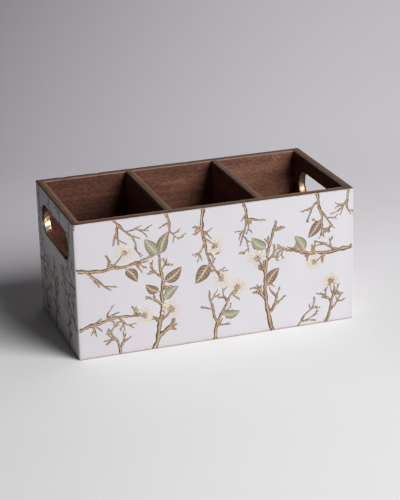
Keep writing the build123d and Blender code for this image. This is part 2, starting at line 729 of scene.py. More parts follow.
@dataclass(frozen=True)
class RimPaint(Finish):
    """Brushed taupe-brown paint, with painted shade along one edge, a painted highlight along the other, and
    painted light that makes it lighter toward +X.

    An edge is the places across the strip where it starts and where it is strongest. On the
    walls the edge of painted shade is only at the left end, with a darker line along the front,
    painted shade along the back and on the right end's inner edge, and paper along the outside.
    """

    # where the painted shade and the painted highlight lie across the strip
    shade_edge: Pair
    highlight_edge: Pair
    on_walls: bool = False
    ground_and_shade: Colour = (0.026, 0.013, 0.008)
    dark: Colour = (0.058, 0.030, 0.018)
    middle: Colour = (0.124, 0.063, 0.036)
    light: Colour = (0.233, 0.136, 0.086)
    paper: Colour = (0.66, 0.65, 0.67)
    line_at: float = 0.0024
    brush: Pair = (0.030, 0.0007)
    washed: Pair = (0.022, 0.006)
    roughness: float = 0.52

    def mixed(self, nodes: Nodes) -> Material:
        """Brush marks along the map's length, and a wash that varies slowly.

        Args:
            nodes: The new material's nodes.

        Returns:
            The material.
        """
        run, place = nodes.map_place(), nodes.place()
        x, y, _ = place.parts()
        across = run.parts()[1]
        marks = run.stretched((*self.brush, 1.0)).noise(1.0, 5.0, 0.6)
        wash = run.stretched((*self.washed, 1.0), (4.0, 2.0, 0.0)).noise()
        grit = place.noise(2600.0, 2.0)
        ragged = (marks - 0.5) * 0.0016
        edge = across + ragged
        # Painted shade along one eased edge, which turns away from the lamp; on the walls only at the left
        # end.
        thin = edge.between(*self.shade_edge)
        if self.on_walls:
            thin = thin * x.between(-0.1185, -0.1205)
        # Painted light: lighter toward the highlight edge, where the eased edge catches the lamp, and
        # lighter toward +X.
        both = marks * 0.55 + wash * 0.45 + edge.between(*self.highlight_edge) * 0.20 + x * 0.22
        colour = both.ramp((0.32, self.dark), (0.50, self.middle), (0.70, self.light))
        colour = nodes.mix(grit.between(0.62, 0.75, 0.0, 0.5), colour, self.dark)
        colour = nodes.mix(thin * 0.85, colour, self.ground_and_shade)
        if self.on_walls:
            line = abs(edge - self.line_at).between(0.0010, 0.0003, 0.0, 0.5) * y.between(-0.0582, -0.0590)
            colour = nodes.mix(line, colour, self.dark)
            # Painted shade on the right end's inner edge, which faces away from the lamp.
            inner = edge.between(0.0042, 0.0060, 0.0, 0.7) * x.between(0.1182, 0.1190)
            colour = nodes.mix(inner, colour, self.ground_and_shade)
            # Painted shade along the back, where the eased edge faces away from the lamp.
            colour = nodes.mix((y + ragged).between(0.0600, 0.0612, 0.0, 0.45), colour, self.dark)
            low = (across + ragged * 0.16).between(-0.00004, -0.00011, 0.0, 0.85)
            colour = nodes.mix(low * y.between(0.0640, 0.0630), colour, self.paper)
        relief = grit.bump(0.00003, 0.4, marks.bump(0.00008, 0.6))
        rough = wash.between(0.3, 0.7, self.roughness - 0.10, self.roughness + 0.12)
        return nodes.surface(colour, rough, relief, specular=0.20)


@dataclass(frozen=True)
class Gilding(Finish):
    """Glossy gold paint over a dark underlayer, brushed on unevenly.

    It covers the hole up to a distance from the outer face. A painted reflection makes it palest between two
    heights, and it is deeper gold just below them.
    """

    covered: float
    # heights that bound the painted reflection
    bright: Pair
    reflection_strength: float
    gold: Colour = (0.640, 0.450, 0.290)
    deep: Colour = (0.250, 0.112, 0.046)
    pale: Colour = (0.820, 0.700, 0.590)
    ground_and_shade: Colour = (0.024, 0.011, 0.006)

    def mixed(self, nodes: Nodes) -> Material:
        """Clouds and long brush lines of deep and bright gold over a dark underlayer.

        The gold is worn to the dark underlayer along the outer border and stops at its covered depth.
        Near the slot's top and at its front end the dark colour is painted shade.

        Args:
            nodes: The new material's nodes.

        Returns:
            The material.
        """
        run, place = nodes.map_place(), nodes.place()
        _, y, z = place.parts()
        clouds = place.noise(560.0, 4.0, 0.6, 0.5)
        lines = run.stretched((0.0200, 0.0011, 1.0)).noise(1.0, 5.0, 0.6, 0.3)
        tone = clouds * 0.70 + lines * 0.30
        colour = tone.ramp((0.45, self.deep), (0.55, self.gold))
        uneven = (clouds - 0.5) * 0.008
        height = z + uneven
        # A painted reflection: the gold turns pale between the two heights; just below them it is deeper.
        low, high = self.bright
        reflection_band = height.between(low - 0.0008, low + 0.0008) * height.between(high + 0.0010, high - 0.0010)
        colour = nodes.mix(height.between(low + 0.0004, low - 0.0008, 0.0, 0.55), colour, self.deep)
        colour = nodes.mix(reflection_band * self.reflection_strength, colour, self.pale)
        ragged = run.parts()[1] + lines * 0.0012 + y.between(0.005, -0.025, 0.0, -0.0013)
        outer = ragged.between(0.0026, 0.0036, 0.95, 0.0)
        inner = ragged.between(self.covered, self.covered + 0.0010)
        # Painted shade: near the slot's top and at its front end, which face away from the lamp, the gold
        # turns dark.
        upper = height.between(0.0905, 0.0990, 0.0, 0.9)
        front = (y + uneven).between(-0.0240, -0.0300)
        worn = ((outer + inner) + (upper + front)).clamped()
        colour = nodes.mix(worn, colour, self.ground_and_shade)
        relief = place.noise(520.0, 3.0).bump(0.00014, 0.8, lines.bump(0.00010, 0.4))
        rough = tone.between(0.35, 0.65, 0.50, 0.36) + worn * 0.25
        return nodes.surface(colour, rough, relief, metallic=worn.between(0.0, 1.0, 1.0, 0.1))


@dataclass(frozen=True)
class Lacquer(Finish):
    """White printed paper under satin lacquer, painted darker and warmer toward the left end as
    shade, worn at its corners and top edge, and painted darker along the bottom as contact shade.

    A nick shows the board. It is its place along X and Z and its radius, on the front.
    """

    top: float
    bottom: float
    # colour at the left end, a painted shade
    left_shade: Colour = (0.598, 0.572, 0.607)
    corner_wear: float = 0.0
    nicks: tuple[Triple, ...] = ()
    white: Colour = (0.646, 0.632, 0.664)
    # colour of the worn corners and top edge, and of the painted shade along the bottom
    wear_and_shade: Colour = (0.40, 0.31, 0.26)
    board: Colour = (0.090, 0.048, 0.034)
    front: float = -0.0654
    corner: float = 0.1262
    roughness: float = 0.42

    def mixed(self, nodes: Nodes) -> Material:
        """Faint clouds, painted shade toward the left end and along the bottom, worn corners and top
        edge, and a few nicks down to the board.

        Args:
            nodes: The new material's nodes.

        Returns:
            The material.
        """
        place = nodes.place()
        x, _, height = place.parts()
        clouds = place.noise(22.0, 3.0, 0.5)
        # Painted light and shade: darker toward the left end, away from the lamp, lighter to the right.
        painted_light_share = (x.between(-0.13, 0.13) + clouds.between(0.3, 0.7, -0.3, 0.3)).clamped()
        colour = nodes.mix(painted_light_share, self.left_shade, self.white)
        reach = (place.noise(330.0, 4.0, 0.65) - 0.42) * 0.0030
        near_top = (height + reach).between(self.top - 0.0004, self.top - 0.0001)
        # Painted contact shade along the bottom edge, where the sheet meets the floor.
        bottom_contact_shade = (height - reach).between(self.bottom + 0.0009, self.bottom + 0.0004)
        # Wear near the vertical corners, and a painted shade that darkens toward the bottom.
        corner_wear_and_base_shade = (abs(x).between(0.1215, self.corner, 0.0, 0.13)
                   + height.between(self.bottom + 0.007, self.bottom + 0.001, 0.0, 0.12))
        colour = nodes.mix(corner_wear_and_base_shade, colour, self.wear_and_shade)
        colour = nodes.mix((near_top + bottom_contact_shade).clamped() * 0.6, colour, self.wear_and_shade)
        if self.corner_wear:
            bare = (abs(x) - reach).between(self.corner, self.corner + 0.0004, 0.0, self.corner_wear)
            colour = nodes.mix(bare, colour, self.board)
        for at_x, at_z, radius in self.nicks:
            ends = {0: place, 1: (at_x, self.front, at_z)}
            away = nodes.out("ShaderNodeVectorMath", "Value", ends, operation="DISTANCE")
            nick = (away + reach).between(radius, radius * 0.6, 0.0, 0.9)
            colour = nodes.mix(nick, colour, self.board)
        rough = clouds.between(0.3, 0.7, self.roughness - 0.04, self.roughness + 0.06)
        fibres = place.noise(900.0, 4.0, 0.6)
        relief = fibres.bump(0.000012, 0.5, place.noise(70.0, 2.0).bump(0.00004, 0.5))
        return nodes.surface(colour, rough, relief, specular=0.4, coat=0.10)


@dataclass(frozen=True)
class StemInk(Finish):
    """Gold-brown printed bark: a light middle between dark outlines, one of them broader."""

    bright: Colour = (0.620, 0.450, 0.260)
    middle: Colour = (0.285, 0.175, 0.090)
    mauve: Colour = (0.225, 0.138, 0.100)
    dark: Colour = (0.060, 0.032, 0.019)
    roughness: float = 0.42

    def mixed(self, nodes: Nodes) -> Material:
        """A colour across the stem by its distance from the middle, broken by flecks along it.

        Args:
            nodes: The new material's nodes.

        Returns:
            The material.
        """
        aside = abs(nodes.map_place().parts()[1] - 0.42)
        flecks = nodes.place().noise(640.0, 4.0, 0.7)
        patches = nodes.place().noise(170.0, 2.0)
        shade = aside * 1.75 + ((flecks - 0.5) * 0.95 + (patches - 0.5) * 0.7)
        middle = nodes.mix(nodes.tone().between(0.35, 1.0, 0.0, 0.8), self.middle, self.mauve)
        colour = nodes.mix(shade.between(0.0, 0.32), self.bright, middle)
        colour = nodes.mix(shade.between(0.38, 0.72), colour, self.dark)
        return nodes.surface(colour, self.roughness, flecks.bump(0.00004, 0.6), specular=0.4, coat=0.05)


@dataclass(frozen=True)
class LeafInk(Finish):
    """Printed leaves from sage green through olive to mauve brown, with gold veins and edge."""

    sage: Colour = (0.240, 0.290, 0.225)
    olive: Colour = (0.135, 0.112, 0.072)
    mauve: Colour = (0.165, 0.100, 0.090)
    light: Colour = (0.400, 0.350, 0.240)
    border: Colour = (0.055, 0.036, 0.022)
    vein: Colour = (0.600, 0.450, 0.250)
    edge: Colour = (0.330, 0.225, 0.120)

    def mixed(self, nodes: Nodes) -> Material:
        """A midrib, slanting side veins at even steps, and a gold outline over a darker border.

        Args:
            nodes: The new material's nodes.

        Returns:
            The material.
        """
        run = nodes.map_place().parts()
        across = abs(run[1] - 0.5) * 2.0
        clouds = nodes.place().noise(420.0, 4.0, 0.6)
        body = nodes.tone().ramp((0.0, self.sage), (0.35, self.sage), (0.55, self.olive), (0.75, self.mauve))
        body = nodes.mix(clouds.between(0.35, 0.72, 0.0, 0.35), body, self.light)
        comb = abs(nodes.math("FRACT", run[0] * 6.0 - across * 1.2) - 0.5)
        side = comb.between(0.12, 0.05) * across.between(0.78, 0.62)
        veins = (across.between(0.20, 0.09) + side * 0.7).clamped()
        colour = nodes.mix(across.between(0.62, 0.86, 0.0, 0.6), body, self.border)
        colour = nodes.mix(veins, colour, self.vein)
        colour = nodes.mix(across.between(0.86, 0.95), colour, self.edge)
        return nodes.surface(colour, 0.36, veins.bump(0.00003, 0.6), coat=0.10)


@dataclass(frozen=True)
class SeedInk(Finish):
    """Printed cream seeds with a warm middle and a fine gold outline, and gold-brown buds."""

    cream: Colour = (0.720, 0.640, 0.540)
    warm: Colour = (0.620, 0.440, 0.290)
    outline: Colour = (0.540, 0.410, 0.270)
    bud: Colour = (0.400, 0.255, 0.125)
    bud_edge: Colour = (0.120, 0.068, 0.038)

    def mixed(self, nodes: Nodes) -> Material:
        """A colour by the distance from each bead's middle.

        Args:
            nodes: The new material's nodes.

        Returns:
            The material.
        """
        shade = nodes.map_place().parts()[1] + (nodes.place().noise(700.0, 3.0) - 0.5) * 0.5
        seed = shade.ramp((0.0, self.warm), (0.30, self.cream), (0.66, self.cream), (0.96, self.outline))
        bud = shade.ramp((0.35, self.bud), (0.95, self.bud_edge))
        return nodes.surface(nodes.mix(nodes.tone(), seed, bud), 0.36, coat=0.10)


@dataclass(frozen=True)
class BradSteel(Finish):
    """Flattened steel wire with fine drawn lines."""

    bright: Colour = (0.62, 0.62, 0.64)
    dull: Colour = (0.38, 0.38, 0.40)
    line: float = 0.0004

    def mixed(self, nodes: Nodes) -> Material:
        """Fine lines in two greys.

        Args:
            nodes: The new material's nodes.

        Returns:
            The material.
        """
        lines = nodes.place().stretched((self.line,) * 3).noise()
        colour = nodes.mix(lines.between(0.3, 0.7), self.dull, self.bright)
        return nodes.surface(colour, lines.between(0.3, 0.7, 0.45, 0.30), metallic=1.0)


@dataclass(frozen=True)
class StudioPaper(Finish):
    """Pale seamless paper, painted darker on its left and a little behind the middle: these
    tones are painted light and shade for the lamp's falloff.

    Each row of tones gives a distance back from the middle of the floor and the paper's grey
    there. The fan between the two rows opens toward the back.
    """

    dim: Colour = (0.060, 0.055, 0.055)
    fibre: Colour = (0.5, 0.5, 0.5)
    turn: float = 18.15
    nearest: float = -0.40
    farthest: float = 1.60
    fan: Pair = (0.140, 0.364)
    left: tuple[Pair, ...] = (
        (-0.22, 0.880), (-0.12, 0.830), (0.25, 0.600), (0.45, 0.495), (0.90, 0.475), (1.40, 0.450))
    right: tuple[Pair, ...] = (
        (-0.30, 0.985), (-0.18, 0.968), (-0.09, 0.893), (0.03, 0.850), (0.15, 0.865), (0.30, 0.775),
        (0.41, 0.745), (0.58, 0.780), (1.04, 0.790), (1.35, 0.800))
    left_tint: Colour = (1.05, 1.0, 1.10)
    right_tint: Colour = (1.03, 1.0, 1.045)

    def tinted(self, row: tuple[Pair, ...], tint: Colour) -> list[tuple[float, Colour]]:
        """A row of greys that take on a tint from front to back.

        Args:
            row: Distances back and the greys there.
            tint: The full tint.

        Returns:
            Shares of the floor's depth, each with its colour.
        """
        stops = []
        for at, grey in row:
            share = min(max((at + 0.12) / 0.45, 0.0), 1.0)
            colour = tuple(grey * (1.0 + share * (part - 1.0)) for part in tint)
            stops.append(((at - self.nearest) / (self.farthest - self.nearest), colour))
        return stops

    def mixed(self, nodes: Nodes) -> Material:
        """Two rows of tones from front to back, mixed across the fan: painted light and shade.

        Args:
            nodes: The new material's nodes.

        Returns:
            The material.
        """
        turn = {"Vector": nodes.map_place(), "Rotation": (0.0, 0.0, math.radians(self.turn))}
        aside, back, _ = nodes.out("ShaderNodeMapping", "Vector", turn).parts()
        share = back.between(self.nearest, self.farthest)
        left = share.ramp(*self.tinted(self.left, self.left_tint))
        right = share.ramp(*self.tinted(self.right, self.right_tint))
        off = aside / back.between(self.nearest, self.farthest, *self.fan)
        rest = (1.0 - (off * 0.5 + 0.5).clamped()).clamped() ** 1.8
        colour = nodes.mix(rest, right, left)
        # Painted shade: darker still beyond the left of the fan.
        colour = nodes.mix(off.between(-1.25, -2.6, 0.0, 0.9), colour, self.dim)
        grain = nodes.place().noise(60.0, 3.0)
        colour = nodes.mix(grain.between(0.3, 0.7, 0.0, 0.02), colour, self.fibre)
        return nodes.surface(colour, 0.9, specular=0.1)


@dataclass(frozen=True)
class Slot:
    """The hand hole's outline: a slot with round ends, along Y, in an end of the box."""

    top: float
    width: float = 0.094
    height: float = 0.0275
    below_rim: float = 0.014

    @property
    def radius(self) -> float:
        """Radius of the round ends."""
        return self.height / 2.0

    @property
    def reach(self) -> float:
        """Half the straight part's length."""
        return (self.width - self.height) / 2.0

    @property
    def middle(self) -> float:
        """Height of the slot's middle."""
        return self.top - self.below_rim - self.radius

    def share_of_ray(self, y: Array, z: Array) -> Array:
        """Where rays from the slot's middle cross its outline.

        A ray meets a straight edge where its height is the radius, or else the circle about the
        nearer end of the straight part.

        Args:
            y: Ends of the rays along Y.
            z: Ends of the rays along Z.

        Returns:
            The crossing's distance from the middle, as a share of the ray's length.
        """
        out, up = np.abs(y), np.abs(z - self.middle)
        straight = self.radius / np.maximum(up, 1e-12)
        square = out**2 + up**2
        root = (self.reach * out) ** 2 - square * (self.reach**2 - self.radius**2)
        rounded = (self.reach * out + np.sqrt(np.maximum(root, 0.0))) / square
        return np.where(straight * out <= self.reach, straight, rounded)

    def outline(self, count: int) -> tuple[Array, Array, Array]:
        """Evenly spaced points round the slot, with the directions away from its middle.

        Args:
            count: Number of points.

        Returns:
            Points and outward directions as count by 2, in Y and Z, and the distance along.
        """
        straight, arc = 2.0 * self.reach, math.pi * self.radius
        along = np.arange(count) / count * (2.0 * (straight + arc))
        half = along % (straight + arc)
        turn = np.where(along < straight + arc, 1.0, -1.0)
        on_arc = np.maximum(half - straight, 0.0) / self.radius
        centre = np.minimum(half, straight) - self.reach
        normal = joined(turn * np.sin(on_arc), turn * np.cos(on_arc))
        points = joined(turn * centre, 0.0) + self.radius * normal
        points[:, 1] += self.middle
        return points, normal, along

    def push_out(self, y: Array, z: Array, margin: float) -> tuple[Array, Array]:
        """Moves places that lie in the slot to its nearest edge.

        Args:
            y: Places along Y.
            z: Places along Z.
            margin: How far outside the outline they end.

        Returns:
            The new places along Y and Z.
        """
        centre = np.clip(y, -self.reach, self.reach)
        out, up = y - centre, z - self.middle
        grow = np.maximum((self.radius + margin) / np.maximum(np.hypot(out, up), 1e-9), 1.0)
        return centre + out * grow, self.middle + up * grow


def add_board(name: str, surface: Surface, wood: BareWood, replaced: str) -> None:
    """Makes a board from its surface and its wood."""
    Piece(name, [surface], wood.material(f"{name}_wood"), "board_wood", replaced).build()


@dataclass
class LongBoard:
    """The front or back board: a section carried along X, stepped at the laps and housings.

    A scratch is its two ends along X and Z.
    """

    side: Side
    measures: Measures
    pattern: float
    step: float = 0.003
    turn_points: int = 6
    # painted light and shade along X for the board's wood
    painted_light_lean: Pair = (0.103, 0.034)
    back_scratches: tuple[tuple[Pair, Pair], ...] = (
        ((0.0975, 0.1205), (0.1035, 0.1148)), ((0.1015, 0.1205), (0.1062, 0.1172)),
        ((0.1000, 0.1080), (0.1035, 0.1062)))

    def stations(self) -> tuple[Array, Array]:
        """Places along X: the ends of each step twice, even steps between them, and the bends.

        Returns:
            The places, and the inner face's recess at each.
        """
        m = self.measures
        edges = [-m.half_length, -m.inner_x]
        for place in m.divider_places:
            edges += [place - m.divider_half, place + m.divider_half]
        edges += [m.inner_x, m.half_length]
        steps = [m.lap] + [0.0, m.housing] * len(m.divider_places) + [0.0, m.lap]
        angle = np.radians(np.linspace(0.0, 90.0, self.turn_points))
        turn = m.half_length - m.bend + m.bend * np.sin(angle)
        runs, recesses = [-turn[::-1]], [np.full(len(turn), m.lap)]
        for low, high, recess in zip(edges, edges[1:], steps):
            runs.append(np.linspace(low, high, max(2, int((high - low) / self.step) + 1)))
            recesses.append(np.full(len(runs[-1]), recess))
        x = np.concatenate([*runs, turn])
        recess = np.concatenate([*recesses, recesses[0]])
        order = np.argsort(x, kind="stable")
        kept = np.abs(x[order]) < m.half_length - 1e-9
        kept[[0, -1]] = True
        return x[order][kept], recess[order][kept]

    def build(self) -> None:
        """Carries the section along X and closes both ends.

        The outer face leans in at the ends as a circle does: by its radius, less the root of the
        squared radius without the squared distance past its middle.
        """
        m, sign = self.measures, self.side.sign
        x, recess = self.stations()
        past = np.clip((np.abs(x) - (m.half_length - m.bend)) / m.bend, 0.0, 1.0)
        outer = m.bend * (1.0 - np.sqrt(1.0 - past**2))
        inner = m.wall - recess
        rebate = np.minimum(inner, m.wall - m.lap)
        easing = np.where(recess > 0.0, 0.0, m.easing)
        face = sign * m.half_depth
        line = [(outer, 0.0), *eased_top(outer, m.easing, inner, easing, m.rim_level(x, face)),
                (inner, m.base_top), (rebate, m.base_top), (rebate, 0.0)]
        across, up = np.moveaxis(profile(line, len(x)), -1, 0)
        points = joined(x[:, None], face - sign * across, up)
        surface = Surface(points, flat_map(x, len(line) + 1), ring_columns=True, caps=True)
        scratches = self.back_scratches if self.side is Side.BACK else ()
        wood = BareWood(GrainAxis.ALONG_X, self.pattern, m.top, self.painted_light_lean, scratches)
        add_board(f"{self.side.value}_board", surface, wood, f"{self.side.value}_panel")


@dataclass
class Divider:
    """A cross board: a section with two eased upper edges, carried along Y into its housings."""

    number: int
    measures: Measures
    pattern: float
    step: float = 0.003

    def build(self) -> None:
        """Carries the section along Y and closes both ends. It isn't eased inside the housings."""
        m = self.measures
        middle, half = m.divider_places[self.number - 1], m.divider_half
        count = int(2.0 * m.inner_y / self.step)
        tongue = m.inner_y + m.housing
        y = np.linspace(-m.inner_y, m.inner_y, count)
        y = np.concatenate([[-tongue, -m.inner_y], y, [m.inner_y, tongue]])
        easing = np.pad(np.full(count, m.easing), 2)
        line = [(-half, m.base_top), *eased_top(-half, easing, half, easing, m.rim_level(middle, y)),
                (half, m.base_top)]
        across, up = np.moveaxis(profile(line, len(y)), -1, 0)
        points = joined(middle + across, y[:, None], up)
        surface = Surface(points, flat_map(y, len(line) + 1), ring_columns=True, caps=True)
        wood = BareWood(GrainAxis.ALONG_Y, self.pattern, m.top)
        add_board(f"cross_board_{self.number}", surface, wood, f"divider_{self.number}")


@dataclass
class HoledPlate:
    """A plate round the hand hole: a closed section carried round the slot, out to the outline.

    Each column is a ray from the slot's middle. It runs from the slot's edge over the outer
    face, round the plate's border and back over the inner face.
    """

    slot: Slot
    half_width: float
    low: float
    step: float = 0.0012
    face_rows: int = 4
    first_height: float = 0.0055
    side_stretch: float = 1.6

    def border(self) -> tuple[Array, Array, Array]:
        """Points round the plate's border, with the corners among them.

        Returns:
            Places along Y and Z, and 1 where a point is on the upper edge or 0 elsewhere.
        """
        top, half = self.slot.top, self.half_width
        wide = np.linspace(-half, half, int(2.0 * half / self.step))
        tall = np.linspace(self.first_height, top, int(top / self.step / self.side_stretch))[:-1]
        side, level = np.full(len(tall), half), np.full(len(wide), 1.0)
        y = np.concatenate([wide, side, wide[::-1], -side])
        z = np.concatenate([level * top, tall[::-1], level * self.low, tall])
        return y, z, np.concatenate([level, 0.0 * side, 0.0 * level, 0.0 * side])

    def ring(self, y: Array, z: Array, share: float, spread: Number) -> tuple[Array, Array]:
        """Points at one share of the way from the slot to the border, along the rays.

        Args:
            y: Border places along Y.
            z: Border places along Z.
            share: From 0 at the slot to 1 at the border.
            spread: How far beyond the slot's outline share 0 lies.

        Returns:
            Places along Y and Z.
        """
        start = self.slot.share_of_ray(y, z) + spread / np.hypot(y, z - self.slot.middle)
        reach = start + (1.0 - start) * share
        return reach * y, self.slot.middle + reach * (z - self.slot.middle)


@dataclass
class EndBoard:
    """An end board with its hand hole, eased along its upper edges and round the hole inside."""

    side: Side
    measures: Measures
    slot: Slot
    pattern: float

    def build(self) -> None:
        """Carries the board's section round the slot.

        A row of the section is the border's heights, its share of the rays, its depth in the
        board and its distance beyond the slot.
        """
        m = self.measures
        plate = HoledPlate(self.slot, m.inner_y + m.lap, 0.0)
        y, z, on_top = plate.border()
        z = np.where(on_top > 0.0, m.rim_level(m.half_length, y), z)
        lifted = np.maximum(z, m.base_top)
        outer, hole = m.easing * on_top, m.hole_easing
        inner = outer * (np.abs(y) < m.inner_y)
        shares = np.linspace(0.0, 1.0, plate.face_rows)[:-1]
        turns = [(1.0 - math.cos(a), 1.0 - math.sin(a)) for a in np.radians([0.0, 22.5, 45.0, 67.5, 90.0])]
        bends = [(1.0 - math.cos(a), 1.0 - math.sin(a)) for a in np.radians([30.0, 60.0, 90.0])]
        rows = [
            (z, 0.0, hole, 0.0),
            *[(z, share, 0.0, 0.0) for share in shares],
            *[(z - outer * out, 1.0, outer * along, 0.0) for along, out in turns],
            (z, 1.0, m.lap, 0.0),
            (lifted, 1.0, m.lap, 0.0),
            *[(lifted - inner * along, 1.0, m.wall - inner * out, 0.0) for along, out in turns],
            *[(lifted, share, m.wall, hole) for share in shares[::-1]],
            *[(lifted, 0.0, m.wall - hole * along, hole * out) for along, out in bends],
        ]
        points = []
        for heights, share, depth, spread in rows:
            x = self.side.sign * (m.half_length - depth)
            points.append(joined(x, *plate.ring(y, heights, share, spread)))
        uv = flat_map(np.linspace(0.0, 1.0, len(rows) + 1), len(y) + 1)
        surface = Surface(np.stack(points), uv, ring_rows=True, ring_columns=True)
        wood = BareWood(GrainAxis.ALONG_Y, self.pattern, m.top)
        add_board(f"{self.side.value}_end_board", surface, wood, f"{self.side.value}_end_panel")


@dataclass
class Sheet:
    """The base of the printed sheets. A place on one is a distance along it and a height.

    Distances run from the middle, to the right as seen from outside. Each kind of sheet has its
    own reach, places in space and way of building.
    """

    side: Side
    measures: Measures
    lacquer: Lacquer
    drop: float = 0.00050
    ragged: float = 0.00004
    bevel: float = 0.00008
    bevel_depth: float = 0.00005

    def top(self, u: Array) -> Array:
        """Height of the ragged upper edge, at distances along the sheet."""
        seed = 21 + list(Side).index(self.side)
        return self.measures.top - self.drop + self.ragged * ripple(u, seed, 0.012, 0.0012)

    def hold(self, u: Array, v: Array) -> tuple[Array, Array]:
        """Brings places outside the sheet to its nearest edge."""
        u = np.clip(u, -self.reach, self.reach)
        return u, np.clip(v, self.measures.sheet_bottom + self.ragged, self.top(u) - self.bevel)

    def add(self, surface: Surface) -> None:
        """Makes the piece from its surface."""
        side, coat = self.side.value, self.lacquer.material(f"{self.side.value}_sheet_lacquer")
        Piece(f"{side}_sheet", [surface], coat, "white_lacquer", f"{side}_print_sheet", 20.0).build()


@dataclass
class LongSheet(Sheet):
    """The front or back printed sheet, turned round both corners.

    A chip, where the white has come off the upper edge, is its place, depth and reach.
    """

    chips: tuple[Triple, ...] = ()
    step: float = 0.0006

    @property
    def straight(self) -> float:
        """Half the flat part's length."""
        return self.measures.sheet_half_length - self.measures.corner_radius

    @property
    def radius(self) -> float:
        """Radius of the sheet's outer face at the corners."""
        return self.measures.corner_radius - self.measures.film

    @property
    def reach(self) -> float:
        """Half the sheet's length along its outer face."""
        return self.straight + self.radius * math.pi / 2.0

    def top(self, u: Array) -> Array:
        """Height of the ragged upper edge, lower at the chips, at distances along the sheet."""
        lost = [depth * np.exp(-(((u - at) / reach) ** 4)) for at, depth, reach in self.chips]
        return super().top(u) - sum(lost)

    def on_face(self, u: Array, v: Array, lift: Number) -> Array:
        """Places in space: straight along the sheet, then round an arc about the corner's centre.

        Args:
            u: Distances along the sheet.
            v: Heights.
            lift: Distance outward from the sheet's face.

        Returns:
            Points, with X, Y and Z last.
        """
        m, sign = self.measures, self.side.sign
        radius = self.radius + lift
        angle = np.clip((np.abs(u) - self.straight) / self.radius, 0.0, math.pi / 2.0)
        x = np.sign(u) * (np.minimum(np.abs(u), self.straight) + radius * np.sin(angle))
        y = m.sheet_half_depth - m.corner_radius + radius * np.cos(angle)
        return joined(-sign * x, sign * y, v)

    def build(self) -> None:
        """Carries the sheet's thin section along its path."""
        m = self.measures
        flat = np.linspace(-self.straight, self.straight, int(2.0 * self.straight / self.step))
        bend = np.linspace(self.straight, self.reach, 9)[1:]
        u = np.concatenate([-bend[::-1], flat, bend])
        top, inside = self.top(u), m.half_depth - m.outline_y
        section = [(0.0, m.sheet_bottom), (0.0, top - self.bevel), (-self.bevel_depth, top), (inside, top),
                   (inside, m.sheet_bottom)]
        points = np.stack([self.on_face(u, height, lift) for lift, height in section], 1)
        self.add(Surface(points, flat_map(u, len(section) + 1), ring_columns=True, caps=True))


@dataclass
class EndSheet(Sheet):
    """The left or right printed sheet, cut out at the hand hole."""

    slot: Optional[Slot] = None
    step: float = 0.0007
    margin: float = 0.0004

    @property
    def reach(self) -> float:
        """Half the sheet's width."""
        return self.measures.sheet_half_depth - self.measures.corner_radius

    def on_face(self, u: Array, v: Array, lift: Number) -> Array:
        """Places in space: u runs along the face, the lift goes outward and v is the height."""
        sign = self.side.sign
        return joined(sign * (self.measures.outline_x + lift), sign * np.asarray(u), v)

    def hold(self, u: Array, v: Array) -> tuple[Array, Array]:
        """Brings places outside the sheet, or in the hand hole, to its nearest edge."""
        return self.slot.push_out(*super().hold(u, v), self.margin)

    def build(self) -> None:
        """Carries the sheet's thin section round the slot."""
        m = self.measures
        plate = HoledPlate(self.slot, self.reach, m.sheet_bottom, self.step)
        y, z, on_top = plate.border()
        z = np.where(on_top > 0.0, self.top(y), z)
        inside = m.half_length - m.outline_x
        uneven = 0.00008 * ripple(np.arange(len(y)) * self.step, 31, 0.010, 0.0015)
        rows = []
        for lift, share, drop in ((0.0, 0.0, 0.0), (0.0, 1.0, self.bevel), (-self.bevel_depth, 1.0, 0.0),
                                  (inside, 1.0, 0.0), (inside, 0.0, 0.0)):
            places = plate.ring(y, z - drop * on_top, share, uneven * (1.0 - share))
            rows.append(self.on_face(*places, lift))
        uv = flat_map(np.linspace(0.0, 1.0, len(rows) + 1), len(y) + 1)
        self.add(Surface(np.stack(rows), uv, ring_rows=True, ring_columns=True))


@dataclass
class HoleGilding:
    """The gold skin of a hand hole: a section across the end board, carried round the slot.

    It spills over both faces by an uneven breadth, and is lumpy between them.
    """

    side: Side
    measures: Measures
    slot: Slot
    finish: Gilding
    lump: float = 0.00016
    thinnest: float = 0.0001
    thickness: float = 0.00012
    rows: int = 12
    stations: int = 300

    def build(self) -> None:
        """Carries the ragged section round the slot."""
        m = self.measures
        points, normal, along = self.slot.outline(self.stations)
        seed = 41 if self.side is Side.LEFT else 42
        spill_out = 0.00042 + 0.00020 * ripple(along, seed, 0.015, 0.0015)
        spill_in = 0.0006 + 0.00030 * ripple(along, seed + 2, 0.015, 0.0015)
        easing, turn = m.hole_easing, m.hole_easing + m.coat
        inner = m.sheet_half_length - m.half_length + m.wall
        line = [(m.film - 0.00005, np.maximum(spill_out, self.thinnest) * share) for share in (1.0, 0.5)]
        line.append((m.film + 0.00002, 0.00002))
        for depth in np.linspace(m.film + 0.0006, inner - easing, self.rows):
            worn = 1.0 + ripple(along + depth * 0.5, seed + 5, 0.009, 0.0016)
            worn = worn + 0.15 * ripple(depth * 2.0 + along * 0.2, seed + 6, 0.006, 0.0015)
            line.append((depth, -m.coat - self.lump * np.clip(worn, 0.0, 2.5)))
        for angle in np.radians([30.0, 60.0, 90.0]):
            line.append((inner - easing + turn * math.sin(angle), easing - turn * math.cos(angle)))
        line.append((inner + m.coat, easing + np.maximum(spill_in, self.thinnest)))
        section = skin(profile(line, self.stations), -self.thickness)
        x = self.side.sign * (m.sheet_half_length - section[..., :1])
        grid = np.concatenate([x, points[:, None] + normal[:, None] * section[..., 1:]], -1)
        seen = np.linspace(0.0, inner + 0.0015, len(line))
        rows = np.append(along, along[-1] + along[1])
        uv = flat_map(rows, np.concatenate([seen, seen[::-1], seen[:1]]))
        surface = Surface(grid, uv, ring_rows=True, ring_columns=True)
        name = f"{self.side.value}_hole_gilding"
        Piece(name, [surface], self.finish.material(name), "hole_gilding", crease_angle=60.0).build()


